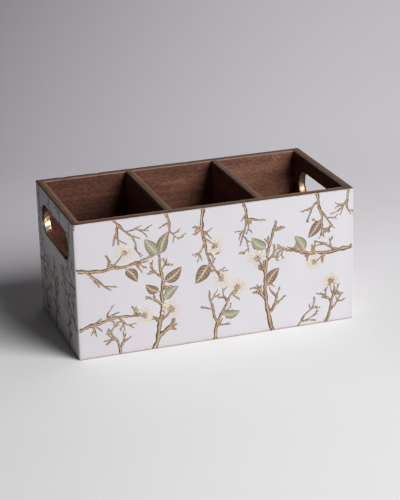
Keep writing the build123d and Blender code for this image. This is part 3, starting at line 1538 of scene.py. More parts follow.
@dataclass
class RimCoat:
    """Paint over the upper edges: a ring round the walls and a strip on each divider."""

    measures: Measures
    edge: float = 0.00045
    thickness: float = 0.00010
    step: float = 0.0010
    top_points: int = 7

    def outline(self) -> tuple[Array, Array]:
        """Points round the box's outside, and how far along the outline each lies.

        Returns:
            Points as count by 2, and distances with the whole length last.
        """
        m = self.measures
        radius = m.corner_radius - m.film
        x, y = m.outline_x - radius, m.outline_y - radius
        centres = ((x, -y), (x, y), (-x, y), (-x, -y))
        corners = [quarter_arc(at, radius, 90.0 * (turn - 1), 8) for turn, at in enumerate(centres)]
        path = []
        for here, after in zip(corners, corners[1:] + corners[:1]):
            length = np.linalg.norm(after[0] - here[-1])
            share = np.linspace(0.0, 1.0, int(length / self.step))[1:-1, None]
            path += [here, here[-1] + (after[0] - here[-1]) * share]
        points = np.concatenate(path)
        gaps = np.linalg.norm(np.roll(points, -1, 0) - points, axis=1)
        return points, np.concatenate([[0.0], np.cumsum(gaps)])

    def ring(self) -> Surface:
        """The ring over the four walls.

        Each station's section runs inward from the outer face over the eased edge and the top
        to just before the inner edge. At the corners the stations fan about the inner corner.

        Returns:
            The ring's surface.
        """
        m, edge = self.measures, self.edge
        points, along = self.outline()
        start = along[:-1]
        inner = np.clip(points, (-m.inner_x, -m.inner_y), (m.inner_x, m.inner_y))
        reach = np.linalg.norm(inner - points, axis=1)
        way = (inner - points) / reach[:, None]
        right = points[:, 0] > m.outline_x - 0.0005
        drop = np.where(right, 0.00002, 0.00016) + 0.00012 * ripple(start, 51, 0.014, 0.0011)
        drop = np.clip(drop, np.where(right, 0.0, 0.00008), 0.0006)
        back = np.where(points[:, 1] > m.inner_y, 0.0007, 0.0004) + 0.0003 * ripple(start, 52, 0.020, 0.0012)
        stop = reach - np.maximum(back, 0.0002)
        side = m.coat * 0.6
        angles = np.radians([0.0, 30.0, 60.0, 90.0])
        line = [(-side, -edge - drop)]
        line += [(edge - (edge + side) * math.cos(a), -edge + (edge + m.coat) * math.sin(a)) for a in angles]
        shares = np.linspace(0.0, 1.0, self.top_points)[1:]
        line += [(edge + (stop - edge) * share, m.coat) for share in shares]
        outer = profile(line, len(start))
        section = skin(outer, self.thickness)
        place = points[:, None] + way[:, None] * section[..., :1]
        level = m.rim_level(place[..., 0], place[..., 1])
        grid = joined(place[..., 0], place[..., 1], level + section[..., 1])
        round_edge = edge * (angles - math.pi / 2.0 + 1.0)
        seen = np.concatenate([[round_edge[0] - 0.00015], round_edge, outer[0, 5:, 0]])
        uv = flat_map(along, np.concatenate([seen, seen[::-1], seen[:1]]))
        return Surface(grid, uv, ring_rows=True, ring_columns=True)

    def strip(self, place: float, seed: int) -> Surface:
        """The strip over a divider: a section across it, carried along Y.

        Args:
            place: The divider's middle along X.
            seed: Seed of its ragged borders.

        Returns:
            The strip's surface.
        """
        m = self.measures
        end = m.inner_y + 0.0012
        y = np.linspace(-end, end, int(2.0 * end / self.step))
        flat, radius = m.divider_half - m.easing, m.easing + m.coat
        shoulders = []
        for number, (sign, cover) in enumerate(((-1.0, 0.66), (1.0, 0.42))):
            over = np.clip(cover + 0.12 * ripple(y, seed + number, 0.030, 0.0020), 0.05, 1.0)
            angles = [over * share * math.pi / 2.0 for share in (0.33, 0.66, 1.0)]
            shoulders.append([(sign * (flat + radius * np.sin(a)), -m.easing + radius * np.cos(a))
                              for a in angles])
        level_top = [(x, m.coat) for x in np.linspace(-flat, flat, self.top_points)]
        section = skin(profile(shoulders[0][::-1] + level_top + shoulders[1], len(y)), self.thickness)
        x = place + section[..., 0]
        level = m.rim_level(x, y[:, None]) - 0.00002
        grid = joined(x, y[:, None], level + section[..., 1])
        across = np.append(section[0, :, 0], section[0, 0, 0])
        return Surface(grid, flat_map(y, across), ring_columns=True, caps=True)

    def build(self) -> None:
        """Makes the ring and the strips."""
        walls = RimPaint((0.0019, 0.0011), (0.0046, 0.0064), on_walls=True).material("wall_rim_paint")
        strips = RimPaint((-0.0012, -0.0028), (0.0008, 0.0026)).material("divider_rim_paint")
        coats = [("wall_rim_coat", self.ring(), walls)]
        for number, place in enumerate(self.measures.divider_places, start=1):
            coats.append((f"divider_rim_coat_{number}", self.strip(place, 53 + 10 * number), strips))
        for name, surface, material in coats:
            Piece(name, [surface], material, "rim_paint", crease_angle=60.0).build()


@dataclass(frozen=True)
class Stem:
    """A printed stem: where it starts on the face, how it runs and what grows on it."""

    u: float
    v: float
    heading: float
    length: float
    bend: float
    width: float
    twigs: int
    leaves: tuple[float, ...] = ()
    umbels: tuple[float, ...] = ()
    tip: Growth = Growth.BUDS


@dataclass
class Line:
    """A traced line on a face, with its width at each point."""

    points: Array
    widths: Array
    length: float

    def at(self, share: float) -> tuple[Array, float, float]:
        """The place, direction and width at a share of the line's length.

        Args:
            share: From 0 at the start to 1 at the tip.

        Returns:
            The place, the direction as an angle, and the width.
        """
        last = len(self.points) - 1
        index = int(np.clip(round(share * last), 1, last))
        way = self.points[index] - self.points[index - 1]
        return self.points[index], math.atan2(way[1], way[0]), float(self.widths[index])


@dataclass
class Clearance:
    """How far each spot of a face is from what is printed, on a grid of small cells."""

    reach: Pair
    step: float = 0.0005
    far: float = 0.0050

    def __post_init__(self) -> None:
        """Starts with nothing printed, and lists the cells of a disc with their distances."""
        self.low = np.array([-self.reach[0], 0.0]) - self.far
        size = np.array([2.0 * self.reach[0], self.reach[1]]) + 2.0 * self.far
        self.gaps = np.full(tuple(np.ceil(size / self.step).astype(int) + 1), self.far)
        cells = int(self.far / self.step)
        side = np.arange(-cells, cells + 1)
        self.disc = joined(side, side[:, None]).reshape(-1, 2)
        self.away = np.linalg.norm(self.disc, axis=1) * self.step

    def held(self, cells: Array) -> Array:
        """Cells, held to the grid."""
        return np.clip(cells, 0, np.array(self.gaps.shape) - 1)

    def cells(self, points: Array) -> Array:
        """The cells that points lie in."""
        return self.held(np.rint((points - self.low) / self.step).astype(int))

    def mark(self, points: Array) -> None:
        """Sets every cell about some points to the smaller of its gap and its distance.

        Args:
            points: What is printed.
        """
        spots = self.held(self.cells(points)[:, None] + self.disc)
        away = np.broadcast_to(self.away, spots.shape[:2])
        np.minimum.at(self.gaps, (spots[..., 0], spots[..., 1]), away)

    def at(self, points: Array) -> Array:
        """Distances of points from what is printed, up to the farthest that is kept."""
        cells = self.cells(points)
        return self.gaps[cells[..., 0], cells[..., 1]]


@dataclass
class Print:
    """The botanical print of one face, as thin relief on its sheet.

    What is printed keeps a margin from what is there already, so that the sprigs share the face.
    The inks are for the stems, the leaves and the seeds. A path is free near its start, first of
    the face's edge and then of what is printed, and a ribbon's root lies under the face. A leaf
    is its place, heading, length and tone, and a bead is its place, radius and tone.
    """

    sheet: Sheet
    stems: tuple[Stem, ...]
    seed: int
    inks: tuple[Material, Material, Material]
    stations: int = 44
    margin: float = 0.0030
    free_start: Pair = (0.0008, 0.0055)
    shortest: float = 0.003
    root: float = -0.00004
    lines: list[Line] = field(default_factory=list)
    fine: list[Line] = field(default_factory=list)
    leaves: list[tuple[float, ...]] = field(default_factory=list)
    beads: list[tuple[float, ...]] = field(default_factory=list)

    def __post_init__(self) -> None:
        """Starts with a bare face and the face's random numbers."""
        self.taken = Clearance((self.sheet.reach, self.sheet.measures.top))
        self.rng = np.random.default_rng(self.seed)

    def first_stop(self, points: Array, width: float, margin: float) -> Optional[int]:
        """Finds where a path leaves the face or comes near what is printed.

        Args:
            points: The path.
            width: How far outside the face it may run.
            margin: How near it may come to what is printed, once it is clear of its own start.

        Returns:
            The number of the first point that may not be printed, or None.
        """
        held = joined(*self.sheet.hold(*points.T))
        begun = np.linalg.norm(points - points[0], axis=1)
        stops = (np.linalg.norm(held - points, axis=1) > width) & (begun > self.free_start[0])
        if margin > 0.0:
            stops |= (self.taken.at(points) < margin) & (begun > self.free_start[1])
        found = np.flatnonzero(stops)
        return int(found[0]) if len(found) else None

    def trace(self, start: Array, heading: float, length: float, bend: float, width: float,
              knots: float = 1.0, margin: Optional[float] = None) -> Optional[Line]:
        """Grows a line: its heading turns by the bend over its length and wanders in seeded waves.

        The places are the running sum of short steps along the heading. A line that must stop
        is grown again only as far as it may go.

        Args:
            start: The first place.
            heading: The first heading, in radians.
            length: Its length.
            bend: How far the heading turns, in radians.
            width: Its width at the start.
            knots: Strength of the wander.
            margin: How near it may come to what is printed, where it isn't the print's own.

        Returns:
            The line, or None where hardly any of it may be printed.
        """
        seed = int(self.rng.integers(1 << 30))
        for _ in range(3):
            along = np.linspace(0.0, length, self.stations)
            share = along / (length + 1e-9)
            turn = heading + bend * share + 0.16 * knots * ripple(along, seed, 0.030, 0.004)
            step = np.gradient(along)[:, None] * joined(np.cos(turn), np.sin(turn))
            points = start + np.cumsum(step, 0) - step[0]
            stop = self.first_stop(points, width, self.margin if margin is None else margin)
            if stop is None:
                break
            length *= share[stop] * 0.98
            bend *= share[stop] * 0.98
        if length < self.shortest:
            return None
        swell = 1.0 + 0.24 * np.clip(ripple(along, seed + 1, 0.014, 0.0030), -0.8, 1.6)
        widths = 1.22 * width * (0.42 + 0.58 * (1.0 - along / max(along[-1], 1e-9)) ** 0.8) * swell
        return Line(points, widths, length)

    def grow(self) -> None:
        """Grows the stems, then their leaves and umbels, then twigs in the space that is left."""
        grown = []
        for stem in self.stems:
            line = self.trace(np.array([stem.u, stem.v]), math.radians(stem.heading), stem.length,
                              math.radians(stem.bend), stem.width)
            if line is not None:
                self.keep(line)
                grown.append((stem, line))
        for stem, line in grown:
            self.finish_tip(line, stem.tip)
            for number, share in enumerate(stem.umbels):
                self.stalked_umbel(line, share, -1.0 if number % 2 else 1.0)
        for stem, line in grown:
            for number, share in enumerate(stem.leaves):
                self.side_leaf(line, share, 1.0 if number % 2 else -1.0)
        for stem, line in grown:
            for number in range(stem.twigs):
                share = 0.10 + 0.84 * (number + self.rng.uniform(0.2, 0.8)) / stem.twigs
                hand = 1.0 if number % 2 else -1.0
                self.twig(line, share, hand, self.rng.uniform(0.016, 0.034), 2)

    def keep(self, line: Line) -> None:
        """Keeps a line and marks its place as taken."""
        self.lines.append(line)
        self.taken.mark(line.points)

    def twig(self, line: Line, share: float, hand: float, length: float, depth: int) -> None:
        """Grows a side twig, with spurs of its own.

        Args:
            line: What it grows on.
            share: Where on that line.
            hand: 1 for the left and -1 for the right of the line's direction.
            length: Its length.
            depth: How many orders of spurs it may carry.
        """
        rng = self.rng
        place, way, width = line.at(share)
        angle = way + hand * rng.uniform(0.45, 0.95)
        length *= 1.15 - 0.5 * share
        margin = self.margin if depth > 1 else self.margin * 0.6
        bend = -hand * rng.uniform(0.0, 0.35)
        twig = self.trace(place, angle, length, bend, max(width * 0.78, 0.0012), 1.4, margin)
        if twig is None:
            return
        spurs = int(rng.integers(2, 4)) if depth > 1 else int(rng.integers(0, 2)) * depth
        self.keep(twig)
        for number in range(spurs):
            at = 0.25 + 0.60 * (number + rng.uniform(0.1, 0.9)) / spurs
            side = 1.0 if (number + int(hand > 0.0)) % 2 else -1.0
            self.twig(twig, at, side, max(length * rng.uniform(0.32, 0.56), 0.006), depth - 1)
        self.finish_tip(twig, Growth.BUDS if rng.random() < 0.8 else Growth.BARE)

    def finish_tip(self, line: Line, growth: Growth) -> None:
        """Ends a line with its growth.

        Args:
            line: The line.
            growth: What ends it.
        """
        place, way, _ = line.at(1.0)
        if growth is Growth.LEAF_PAIR:
            for hand in (-1.0, 1.0):
                self.leaf(place, way + hand * self.rng.uniform(0.40, 0.65), 0.0)
        elif growth is Growth.UMBEL:
            self.umbel(place, way)
        elif growth is Growth.BUDS:
            for number in range(int(self.rng.integers(1, 4))):
                back = line.at(1.0 - 0.16 * number)[0]
                side = way + math.pi / 2.0 * (1.0 if number % 2 else -1.0)
                spot = back + 0.0008 * (number > 0) * toward(side)
                self.beads.append((*spot, self.rng.uniform(0.00045, 0.00070), 1.0))

    @staticmethod
    def tries(line: Line, share: float, hand: float, step: float,
              last: float) -> Iterator[tuple[Array, float, float, float]]:
        """Spots to try beside a line: both sides of a place in turn, then of one further along.

        Args:
            line: The line.
            share: Where the first place is.
            hand: The side that is tried first.
            step: How much further along the next place is.
            last: The last place.

        Yields:
            The place, the line's direction and width there, and the side.
        """
        for attempt in range(8):
            side = -hand if attempt % 2 else hand
            yield *line.at(min(share + step * (attempt // 2), last)), side

    def side_leaf(self, line: Line, share: float, hand: float) -> None:
        """Adds a leaf beside a line, on whichever side and spot has room.

        Args:
            line: What it grows on.
            share: Where on that line.
            hand: The side that is tried first.
        """
        for place, way, _, side in self.tries(line, share, hand, 0.05, 0.98):
            if self.leaf(place, way + side * self.rng.uniform(0.55, 1.05), self.margin):
                return

    def leaf(self, place: Array, heading: float, margin: float) -> bool:
        """Adds a leaf on a short stalk, where there is room.

        Args:
            place: Where its stalk starts.
            heading: Its direction.
            margin: How near its middle line may come to what is printed.

        Returns:
            Whether there was room.
        """
        length = self.rng.uniform(0.0130, 0.0195)
        reach = place + toward(heading) * np.linspace(0.0, length + 0.0035, 24)[:, None]
        if self.first_stop(reach, 0.0, margin) is not None:
            return False
        x, y = toward(heading)
        swell = 0.28 * length * np.sin(np.linspace(0.0, math.pi, 24))[:, None]
        aside = swell * np.array([-y, x])
        self.taken.mark(np.concatenate([reach - aside, reach, reach + aside]))
        stalk = self.trace(place, heading, 0.0034, 0.0, 0.0011, 0.3, 0.0)
        if stalk is not None:
            self.fine.append(stalk)
            place = stalk.points[-1]
        self.leaves.append((*place, heading, length, self.rng.random()))
        return True

    def stalked_umbel(self, line: Line, share: float, hand: float) -> None:
        """Adds a seed head on a curved stalk, on whichever side and spot has room.

        Args:
            line: What it grows on.
            share: Where on that line.
            hand: The side that is tried first.
        """
        for place, way, width, side in self.tries(line, share, hand, 0.06, 0.95):
            length = self.rng.uniform(0.012, 0.018)
            angle = way + side * self.rng.uniform(0.7, 1.1)
            stalk = self.trace(place, angle, length, -side * 0.5, max(width * 0.6, 0.0011))
            if stalk is None or stalk.length < 0.95 * length:
                continue
            end, out, _ = stalk.at(1.0)
            if self.umbel(end, out):
                self.keep(stalk)
                return

    def umbel(self, place: Array, heading: float) -> bool:
        """Adds a seed head: fine rays that fan out from a point, with seeds along and at their ends.

        Args:
            place: Where the rays meet.
            heading: Direction of the fan's middle.

        Returns:
            Whether there was room.
        """
        rng = self.rng
        reach = rng.uniform(0.0072, 0.0092)
        middle = place + 0.35 * reach * toward(heading)
        held = joined(*self.sheet.hold(*middle))
        side = np.linspace(-reach, reach, 13)
        disc = joined(side, side[:, None]).reshape(-1, 2)
        spots = middle + disc[np.linalg.norm(disc, axis=1) < reach * 0.95]
        clear = (self.taken.at(spots) > 0.0009) | (np.linalg.norm(spots - place, axis=1) < 0.006)
        if not clear.all() or np.linalg.norm(held - middle) > 0.0:
            return False
        count = int(rng.integers(11, 15))
        for number in range(count):
            angle = heading + (number / (count - 1) - 0.5) * rng.uniform(4.6, 5.0)
            length = reach * rng.uniform(0.70, 1.0)
            ray = self.trace(place, angle, length, rng.uniform(-0.3, 0.3), 0.00050, 0.2, 0.0)
            if ray is None:
                continue
            self.fine.append(ray)
            for at, size in ((1.0, 0.00150), (0.62, 0.00105)):
                self.beads.append((*ray.at(at)[0], size * rng.uniform(0.75, 1.1), 0.0))
            self.taken.mark(ray.points[::6])
        for _ in range(7):
            away, angle = rng.uniform(0.0004, 0.0016), rng.uniform(0.0, 2.0 * math.pi)
            spot = place + away * toward(angle)
            self.beads.append((*spot, rng.uniform(0.00035, 0.00055), rng.uniform(0.3, 0.8)))
        return True

    def on_sheet(self, u: Array, v: Array, height: Array) -> Array:
        """Places in space at heights over the sheet, with what is outside it brought to its edge."""
        u, v = self.sheet.hold(u, v)
        return self.sheet.on_face(u, v, np.broadcast_to(height, u.shape))

    def ribbons(self, lines: list[Line], lift: float, relief: float) -> list[Surface]:
        """Low rounded ribbons along the lines, in groups with equally many sections.

        Across a ribbon the height is the relief times one less the square of the distance from
        its middle, and the section's last point lies under the face. Shorter lines have fewer
        sections.

        Args:
            lines: The lines.
            lift: Height of the ribbons' edges over the face.
            relief: How far their middles rise above their edges.

        Returns:
            The groups, each as copies of one grid.
        """
        tone = np.random.default_rng(self.seed + 2).random(len(lines))
        lengths = np.array([line.length for line in lines])
        group = np.digitize(lengths, (0.011, 0.030))
        across = np.array([-1.0, -0.6, 0.0, 0.6, 1.0, 0.0])
        height = np.array([0.0, 0.64, 1.0, 0.64, 0.0, 0.0]) * relief + lift
        height[-1] = self.root
        run = np.array([0.0, 0.2, 0.5, 0.8, 1.0, 0.5, 0.0])
        surfaces = []
        for number, count in enumerate((9, 20, self.stations)):
            chosen = np.flatnonzero(group == number)
            if not len(chosen):
                continue
            kept = np.linspace(0, self.stations - 1, count).round().astype(int)
            points = np.stack([lines[i].points[kept] for i in chosen])
            widths = np.stack([lines[i].widths[kept] for i in chosen])
            left = left_of(points)[:, :, None] * (widths[:, :, None, None] / 2.0)
            place = points[:, :, None] + left * across[:, None]
            grid = self.on_sheet(place[..., 0], place[..., 1], height)
            along = lengths[chosen, None] * (kept / (self.stations - 1.0))
            uv = joined(along[..., None], run)
            surfaces.append(Surface(grid, uv, ring_columns=True, caps=True, tone=tone[chosen]))
        return surfaces

    def leaf_surface(self) -> Surface:
        """Lance-shaped leaves as two grids in one ring: the top over the veins and the underside.

        The half width grows with the square root of the distance from the stalk and falls to
        nothing at the tip, and the midrib bends a little to one side.

        Returns:
            The leaves as copies of one grid.
        """
        rng = np.random.default_rng(self.seed + 1)
        share = np.linspace(0.0, 1.0, 22)
        across = np.array([-1.0, -0.7, -0.35, -0.12, 0.0, 0.12, 0.35, 0.7, 1.0, 0.4, -0.4])
        rise = np.array([0.0, 0.55, 0.8, 0.7, 0.9, 0.7, 0.8, 0.55, 0.0, 0.0, 0.0]) * 0.00003 + 0.00005
        rise[-2:] = self.root
        outline = share**0.55 * (1.0 - share) ** 0.95
        outline = (outline / outline.max())[:, None]
        tone = np.array(self.leaves)[:, 4]
        u, v, heading, length, _ = np.array(self.leaves).T[:, :, None, None]
        half = length * rng.uniform(0.25, 0.32, len(tone))[:, None, None]
        sway = rng.uniform(-0.12, 0.12, len(tone))[:, None, None] * length
        forward = share[:, None] * length * np.ones(len(across))
        side = half * outline * across + sway * np.sin(np.pi * share)[:, None]
        cos, sin = np.cos(heading), np.sin(heading)
        grid = self.on_sheet(u + forward * cos - side * sin, v + forward * sin + side * cos, rise)
        run = np.append((across + 1.0) / 2.0, 0.0)
        return Surface(grid, flat_map(share, run), ring_columns=True, caps=True, tone=tone)

    def bead_surface(self) -> Surface:
        """Low domes: rings of points whose height falls with the square of their distance.

        Returns:
            The beads as copies of one grid.
        """
        u, v, radius, _ = np.array(self.beads).T[:, :, None, None]
        out = np.array([1.0, 1.0, 0.72, 0.36, 0.0])
        rise = 0.00006 + 0.00003 * (1.0 - out**2)
        rise[:2] = self.root, 0.00005
        angle = np.arange(9) * 2.0 * np.pi / 9
        reach = radius * out[:, None]
        grid = self.on_sheet(u + reach * np.cos(angle), v + reach * np.sin(angle), rise[:, None])
        uv = flat_map(out, 10)[..., ::-1]
        return Surface(grid, uv, ring_columns=True, caps=True, tone=np.array(self.beads)[:, 3])

    def build(self) -> None:
        """Grows the print and makes its pieces."""
        self.grow()
        stems = self.ribbons(self.lines, 0.00001, 0.00004) + self.ribbons(self.fine, 0.00002, 0.00003)
        kinds = (("stems", stems, "print_gold"), ("leaves", [self.leaf_surface()], "print_leaf"),
                 ("seeds", [self.bead_surface()], "print_gold"))
        for (kind, surfaces, slot), ink in zip(kinds, self.inks):
            name = f"{self.sheet.side.value}_printed_{kind}"
            Piece(name, surfaces, ink, slot, crease_angle=80.0).build()


FRONT_STEMS = (
    Stem(-0.1278, 0.082, -12, 0.080, 34, 0.0028, 4, (0.55,), (0.42,)),
    Stem(-0.1278, 0.026, 24, 0.062, -34, 0.0026, 4, (), (0.70,), Growth.UMBEL),
    Stem(-0.060, 0.000, 72, 0.112, 34, 0.0036, 7, (0.50, 0.60, 0.70), (0.30,), Growth.LEAF_PAIR),
    Stem(-0.012, 0.1225, -100, 0.070, 44, 0.0026, 6, (0.72,), (0.40,), Growth.UMBEL),
    Stem(0.050, 0.000, 108, 0.104, -40, 0.0034, 7, (0.42, 0.75), (0.58,)),
    Stem(0.1275, 0.070, 196, 0.076, -46, 0.0030, 6, (0.60,), (0.36,), Growth.UMBEL),
    Stem(0.092, 0.1225, -68, 0.040, -30, 0.0024, 4, (0.60,)),
    Stem(0.100, 0.000, 64, 0.044, 30, 0.0024, 4, (), (0.60,)),
    Stem(-0.092, 0.1225, -58, 0.030, 34, 0.0020, 3),
    Stem(-0.004, 0.000, 82, 0.052, -34, 0.0028, 5, (0.45,), (), Growth.UMBEL),
    Stem(0.024, 0.1225, -74, 0.040, -46, 0.0022, 4),
    Stem(-0.046, 0.1225, -62, 0.022, -40, 0.0020, 2),
    Stem(0.122, 0.1225, -104, 0.024, 36, 0.0020, 2),
    Stem(-0.090, 0.000, 96, 0.028, 30, 0.0022, 3),
    Stem(0.074, 0.000, 70, 0.022, -40, 0.0018, 2),
)
BACK_STEMS = (
    Stem(-0.1265, 0.060, 14, 0.090, 30, 0.0030, 6, (0.50, 0.58), (0.38,), Growth.UMBEL),
    Stem(-0.070, 0.1225, -76, 0.072, 30, 0.0028, 6, (0.66,)),
    Stem(-0.010, 0.000, 96, 0.110, -30, 0.0036, 7, (0.48, 0.56, 0.66), (0.35,), Growth.LEAF_PAIR),
    Stem(0.060, 0.1225, -112, 0.070, -40, 0.0026, 6, (), (0.50,), Growth.UMBEL),
    Stem(0.1275, 0.040, 158, 0.080, 34, 0.0030, 6, (0.60,), (0.40,)),
    Stem(0.088, 0.000, 74, 0.046, -36, 0.0024, 5, (0.55,), (), Growth.UMBEL),
    Stem(-0.096, 0.000, 66, 0.046, 34, 0.0026, 5, (0.60,)),
    Stem(-0.048, 0.000, 104, 0.044, 24, 0.0024, 4, (), (0.60,)),
    Stem(0.036, 0.000, 70, 0.050, 36, 0.0026, 4, (0.50,)),
    Stem(0.104, 0.1225, -84, 0.044, -24, 0.0024, 4),
    Stem(-0.104, 0.1225, -100, 0.038, 34, 0.0022, 4, (), (0.55,)),
    Stem(0.006, 0.1225, -60, 0.034, -40, 0.0022, 3),
    Stem(0.1275, 0.092, 196, 0.030, 30, 0.0022, 3),
    Stem(-0.1275, 0.022, 26, 0.026, -30, 0.0020, 3),
)
LEFT_STEMS = (
    Stem(0.0640, 0.026, 150, 0.066, -34, 0.0032, 5, (), (0.45,)),
    Stem(-0.012, 0.000, 78, 0.070, 22, 0.0034, 5, (0.60,)),
    Stem(-0.0640, 0.050, 20, 0.044, -40, 0.0028, 5, (0.5,), (), Growth.UMBEL),
    Stem(0.034, 0.000, 84, 0.066, 20, 0.0030, 5),
    Stem(-0.044, 0.000, 96, 0.040, -20, 0.0026, 4),
    Stem(0.0640, 0.066, 200, 0.036, -30, 0.0024, 3),
    Stem(0.054, 0.1225, -96, 0.046, -14, 0.0024, 3),
    Stem(-0.056, 0.1225, -84, 0.050, -16, 0.0026, 4),
    Stem(-0.020, 0.1225, -50, 0.018, -50, 0.0020, 2),
    Stem(0.022, 0.1225, -120, 0.016, 50, 0.0020, 2),
)
RIGHT_STEMS = (
    Stem(-0.0640, 0.030, 28, 0.072, 30, 0.0030, 6, (0.55,), (0.40,)),
    Stem(0.020, 0.000, 100, 0.072, -28, 0.0032, 6, (0.60, 0.68), (), Growth.UMBEL),
    Stem(0.0640, 0.058, 168, 0.046, 30, 0.0026, 5),
    Stem(-0.030, 0.1225, -84, 0.014, 20, 0.0022, 2),
    Stem(0.054, 0.1225, -98, 0.050, -14, 0.0024, 4, (), (0.5,)),
    Stem(0.0640, 0.014, 140, 0.034, -40, 0.0024, 4, (0.6,)),
    Stem(-0.030, 0.000, 70, 0.040, 40, 0.0026, 4, (), (0.6,)),
    Stem(-0.0640, 0.064, -10, 0.030, 40, 0.0022, 3),
    Stem(-0.054, 0.1225, -74, 0.044, -20, 0.0024, 4, (0.5,)),
    Stem(0.018, 0.1225, -120, 0.018, 50, 0.0020, 2),
)


@dataclass
class PaintedBox:
    """The whole holder: boards, sheets, print, rim paint, gilding and brads."""

    measures: Measures

    def build(self) -> None:
        """Builds the parts from the inside out."""
        m = self.measures
        slot = Slot(m.top)
        for number, side in enumerate((Side.FRONT, Side.BACK)):
            LongBoard(side, m, 3.7 + 5.3 * number).build()
        for number, side in enumerate((Side.LEFT, Side.RIGHT)):
            EndBoard(side, m, slot, 14.1 + 4.9 * number).build()
        for number in range(1, len(m.divider_places) + 1):
            Divider(number, m, 23.0 + 6.1 * number).build()
        self.dress_packed()
        RimCoat(m).build()
        # Each hole's gold has a painted reflection between two heights, of the given strength.
        left = Gilding(0.0082, (0.0829, 0.0876), 0.85)
        # The right hole's gold is a darker copy of the same paint, a painted shade.
        right = Gilding(0.0070, (0.0884, 0.0906), 0.36, gold=(0.300, 0.195, 0.112))
        for side, finish in ((Side.LEFT, left), (Side.RIGHT, right)):
            HoleGilding(side, m, slot, finish).build()
        self.print_sheets(slot)

    def dress_packed(self) -> None:
        """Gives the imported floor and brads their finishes."""
        base = BareWood(GrainAxis.ALONG_X, 31.0, self.measures.top).material("floor_board_wood")
        steel = BradSteel().material("brad_steel")
        for name, material in (("base_panel", base), ("corner_brads", steel),
                               ("divider_brads", steel), ("base_brads", steel)):
            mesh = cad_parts[name].data
            mesh.materials.clear()
            mesh.materials.append(material)
            log.info("%s: dressed", name)

    def print_sheets(self, slot: Slot) -> None:
        """Makes the four sheets and their print.

        Args:
            slot: The hand hole's outline.
        """
        m = self.measures
        edges = (m.top - 0.0006, m.sheet_bottom)
        growth = (LeafInk().material("leaf_ink"), SeedInk().material("seed_ink"))
        inks = (StemInk().material("stem_ink"), *growth)
        # A darker copy of the stem ink for the end sheets, painted shade.
        dark_stem = StemInk((0.34, 0.22, 0.13), (0.16, 0.096, 0.060), (0.13, 0.080, 0.060))
        dark_inks = (dark_stem.material("dark_stem_ink"), *growth)
        chips = ((-0.1263, 0.0016, 0.0006), (-0.1240, 0.0009, 0.0004), (0.1180, 0.0006, 0.0005))
        front = Lacquer(*edges, nicks=((-0.1258, 0.1213, 0.0014), (-0.1256, 0.1187, 0.0016)))
        # The end sheets' lacquer is painted darker at the left end, as shade.
        back, end = Lacquer(*edges, corner_wear=0.85), Lacquer(*edges, left_shade=(0.585, 0.560, 0.592))
        sheets = (
            (LongSheet(Side.FRONT, m, front, chips=chips), FRONT_STEMS, inks),
            (LongSheet(Side.BACK, m, back), BACK_STEMS, inks),
            (EndSheet(Side.LEFT, m, end, slot=slot), LEFT_STEMS, dark_inks),
            (EndSheet(Side.RIGHT, m, end, 0.00020, slot=slot), RIGHT_STEMS, dark_inks),
        )
        for seed, (sheet, stems, chosen) in enumerate(sheets, start=101):
            sheet.build()
            Print(sheet, stems, seed, chosen).build()


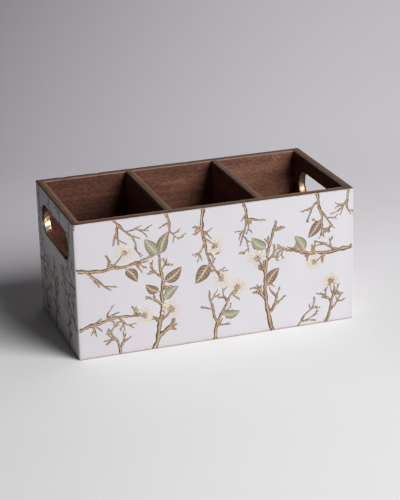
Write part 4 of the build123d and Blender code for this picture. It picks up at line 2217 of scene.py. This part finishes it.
@dataclass
class Studio:
    """The floor, the backdrop, the lamps and the camera.

    The camera looks along a heading that is turned from +Y toward +X and tipped down, rolled a
    little, and placed so that the box sits in the picture as it should.
    """

    heading: float = 18.15
    tilt: float = 20.33
    roll: float = -1.50
    distance: float = 1.530
    aside: float = 0.00383
    above: float = 0.05670
    focal_pixels: float = 1678.0
    picture_height: float = 500.0
    sensor: float = 36.0
    key_way: Triple = (0.77, -1.0, 0.90)
    key_distance: float = 6.0
    key_size: float = 4.50
    key_power: float = 465.0
    sky_colour: Colour = (1.0, 0.98, 0.97)
    sky: float = 0.04

    def build(self) -> None:
        """Sets up everything around the holder."""
        self.floor()
        self.lamps()
        self.camera()
        bpy.context.scene.view_settings.view_transform = "Standard"

    def camera(self) -> None:
        """Places the camera by its heading, tilt and roll."""
        turn, tilt, roll = (math.radians(a) for a in (self.heading, self.tilt, self.roll))
        forward = Vector((math.sin(turn) * math.cos(tilt), math.cos(turn) * math.cos(tilt), -math.sin(tilt)))
        level = Vector((math.cos(turn), -math.sin(turn), 0.0))
        upright = level.cross(forward)
        right = math.cos(roll) * level + math.sin(roll) * upright
        up = -math.sin(roll) * level + math.cos(roll) * upright
        data = bpy.data.cameras.new("camera")
        data.sensor_width = data.sensor_height = self.sensor
        data.lens = self.focal_pixels * self.sensor / self.picture_height
        camera = bpy.data.objects.new("camera", data)
        camera.matrix_world = Matrix((right, up, -forward)).transposed().to_4x4()
        camera.location = self.aside * right + self.above * up - self.distance * forward
        bpy.context.scene.collection.objects.link(camera)
        bpy.context.scene.camera = camera

    def lamps(self) -> None:
        """Hangs the key lamp and sets the weak light all round."""
        way = Vector(self.key_way).normalized()
        data = bpy.data.lights.new("key", "AREA")
        data.shape = "DISK"
        data.size = self.key_size
        data.energy = self.key_power
        lamp = bpy.data.objects.new("key", data)
        lamp.visible_camera = False
        lamp.location = way * self.key_distance
        lamp.rotation_euler = way.to_track_quat("Z", "Y").to_euler()
        bpy.context.scene.collection.objects.link(lamp)
        world = bpy.data.worlds.new("studio")
        world.use_nodes = True
        background = world.node_tree.nodes["Background"]
        background.inputs["Color"].default_value = (*self.sky_colour, 1.0)
        background.inputs["Strength"].default_value = self.sky
        bpy.context.scene.world = world

    def floor(self) -> None:
        """Carries the paper's profile along X: flat, then a quarter circle up to a wall."""
        start, bend, radius, height, half = -4.0, 2.2, 1.2, 3.2, 5.0
        flat = joined(np.linspace(start, bend, 40), 0.0)
        curve = quarter_arc((bend, radius), radius, -90.0, 16)
        path = np.concatenate([flat, curve[1:], [[bend + radius, height]]])
        gaps = np.linalg.norm(np.diff(path, axis=0), axis=1)
        along = start + np.concatenate([[0.0], np.cumsum(gaps)])
        x = np.linspace(-half, half, 30)
        points = joined(x[:, None], *path.T)
        quads, uv = Surface(points, flat_map(x, along)).quads()
        material = StudioPaper().material("paper")
        paper = smooth_object("paper", points.reshape(-1, 3), quads.tolist(), uv, material)


def main() -> None:
    """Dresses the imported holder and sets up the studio."""
    logging.basicConfig(level=logging.INFO, format="%(name)s %(message)s")
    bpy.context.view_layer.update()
    PaintedBox(Measures.from_frame()).build()
    Studio().build()
    bpy.context.view_layer.update()


if __name__ == "__main__":
    main()
